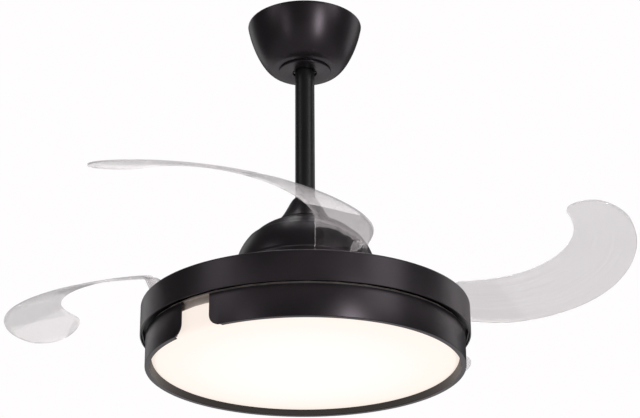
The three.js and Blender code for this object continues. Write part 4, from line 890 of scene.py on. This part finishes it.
def blade_station(share):
    """Angle of a cross-section for a share of the blade's rows, which are closer at its ends."""
    root = -ROOT_RADIUS / PIVOT_RADIUS * 180 / pi
    tip = SPAN - TIP_LENGTH
    band_start = ROOT_ROWS + RISING_ROWS
    band_end = 1 - TIP_ROWS
    if share < ROOT_ROWS:
        return root * cos(pi / 2 * share / ROOT_ROWS)
    if share > band_end:
        return tip + TIP_LENGTH * sin(pi / 2 * (share - band_end) / TIP_ROWS)
    if share < band_start:
        return RISING_ANGLE * (share - ROOT_ROWS) / RISING_ROWS
    return RISING_ANGLE + (tip - RISING_ANGLE) * (share - band_start) / (band_end - band_start)


FLOW_MAP = "along_and_across"
BLADE_ROWS = 100
BLADE_COLUMNS = 14


def clear_blade(name, azimuth):
    """One blade, swung out, with its pivot at an azimuth in degrees."""
    bm = bmesh.new()
    bm.loops.layers.uv.new(FLOW_MAP)
    bmesh.ops.create_grid(
        bm, x_segments=BLADE_ROWS, y_segments=BLADE_COLUMNS, size=0.5, calc_uvs=True)
    for corner in bm.verts:
        angle = blade_station(corner.co.x + 0.5)
        inner, outer = blade_edges(angle)
        radius = inner + (outer - inner) * (corner.co.y + 0.5)
        turn = radians(-angle)
        height = blade_height(radius, angle)
        corner.co = (radius * cos(turn) - PIVOT_RADIUS, radius * sin(turn), height)
    bmesh.ops.remove_doubles(bm, verts=bm.verts, dist=1e-5)
    bmesh.ops.recalc_face_normals(bm, faces=bm.faces)
    if sum(f.normal.z for f in bm.faces) < 0:
        bmesh.ops.reverse_faces(bm, faces=bm.faces)
    turned(bm, OPEN_ANGLE)
    bmesh.ops.translate(bm, verts=bm.verts, vec=(PIVOT_RADIUS, 0, 0))
    turned(bm, azimuth)
    blade = place_mesh(name, bm)
    skin = blade.modifiers.new("thickness", "SOLIDIFY")
    skin.thickness = BLADE_THICKNESS
    skin.offset = 0
    return smooth(rounded(blade, BLADE_EDGE, segments=3, limit=50), 60)


clear = bpy.data.materials.new("clear_blade_plastic")
clear.use_nodes = True
tree = clear.node_tree
shader = tree.nodes["Principled BSDF"]
shader.inputs["IOR"].default_value = 1.49
along_blade = tree.nodes.new("ShaderNodeUVMap")
along_blade.uv_map = FLOW_MAP
stretch = tree.nodes.new("ShaderNodeMapping")
stretch.inputs["Scale"].default_value = (2.2, 26, 1)
flow = tree.nodes.new("ShaderNodeTexNoise")
flow.inputs["Scale"].default_value = 1.6
flow.inputs["Detail"].default_value = 6
flow.inputs["Distortion"].default_value = 0.7
lines = tree.nodes.new("ShaderNodeMapRange")
lines.inputs["From Min"].default_value = 0.3
lines.inputs["From Max"].default_value = 0.7
tint = tree.nodes.new("ShaderNodeMix")
tint.data_type = "RGBA"
tint.inputs["A"].default_value = (0.46, 0.41, 0.42, 1)
tint.inputs["B"].default_value = (0.54, 0.49, 0.50, 1)
haze = tree.nodes.new("ShaderNodeMapRange")
haze.inputs["To Min"].default_value = 0.02
haze.inputs["To Max"].default_value = 0.09
shader.inputs["Transmission Weight"].default_value = 1
shader.inputs["Alpha"].default_value = 0.5
tree.links.new(along_blade.outputs["UV"], stretch.inputs["Vector"])
tree.links.new(stretch.outputs["Vector"], flow.inputs["Vector"])
tree.links.new(flow.outputs["Fac"], lines.inputs["Value"])
tree.links.new(lines.outputs[0], tint.inputs["Factor"])
tree.links.new(lines.outputs[0], haze.inputs["Value"])
tree.links.new(tint.outputs["Result"], shader.inputs["Base Color"])
tree.links.new(haze.outputs[0], shader.inputs["Roughness"])

pivot_azimuths = {k: PIVOT_AZIMUTH + 90 * (k - 1) for k in range(1, 5)}
for k, azimuth in pivot_azimuths.items():
    blade = clear_blade(f"clear_blade_{k}", azimuth)
    dressed(blade, clear, f"folding_blade_{k}", "clear_blade", f"blade_{k}")


# ---------------------------------------------------------------- hubs, clamps, pins and springs
# A plate with three screws clamps each blade's root to a black moulded hub, which swings on a
# shoulder pin. The hub's teeth mesh with the ring gear, and a torsion spring folds the blade when
# the fan stops. A rubber sleeve on the carrier's post stops the hub.

hub_nylon = grained(
    "hub_glass_filled_nylon", (0.016, 0.0155, 0.0165), (0.03, 0.029, 0.031), 0.48, spread=0.12,
    grain=900, mottling=60, depth=0.12)
spring_steel = grained(
    "hard_drawn_spring_wire", (0.24, 0.24, 0.25), (0.38, 0.38, 0.39), 0.26, spread=0.12,
    grain=1600, mottling=90, depth=0.03, metallic=1.0)
stop_rubber = grained(
    "stop_rubber", (0.010, 0.010, 0.010), (0.018, 0.018, 0.018), 0.72, spread=0.15, grain=1200,
    mottling=50, depth=0.2)

CLAMP_SCREWS = 3
CLAMP_SCREW_REACH = 0.0142
CLAMP_SCREW_RADIUS = 0.0027
CLAMP_SCREW_HEIGHT = 0.0014


def clamp_screws(k, azimuth):
    """The screw heads on a clamp plate, the first at an azimuth in degrees."""
    low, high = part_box(f"blade_clamp_{k}")
    middle = Vector(((low.x + high.x) / 2, (low.y + high.y) / 2, high.z))
    bm = bmesh.new()
    for j in range(CLAMP_SCREWS):
        turn = radians(azimuth + 360 / CLAMP_SCREWS * j)
        reach = Vector((cos(turn), sin(turn), 0)) * CLAMP_SCREW_REACH
        screw_head(bm, middle + reach, CLAMP_SCREW_RADIUS, CLAMP_SCREW_HEIGHT)
    bmesh.ops.recalc_face_normals(bm, faces=bm.faces)
    return smooth(place_mesh(f"clamp_screws_{k}", bm))


for k, azimuth in pivot_azimuths.items():
    arm = f"folding_blade_{k}"
    hub = eased(f"hub_{k}", f"blade_hub_{k}", 0.0004)
    dressed(hub, hub_nylon, arm, "hub_nylon", f"blade_hub_{k}")
    clamp = eased(f"clamp_{k}", f"blade_clamp_{k}", 0.0003)
    dressed(clamp, bright_steel, arm, "fastener_steel", f"blade_clamp_{k}")
    dressed(clamp_screws(k, azimuth), bright_steel, arm, "fastener_steel")
    cad_finish(bright_steel, f"pivot_pin_{k}")
    cad_finish(spring_steel, f"return_spring_{k}")
    cad_finish(stop_rubber, f"stop_sleeve_{k}")
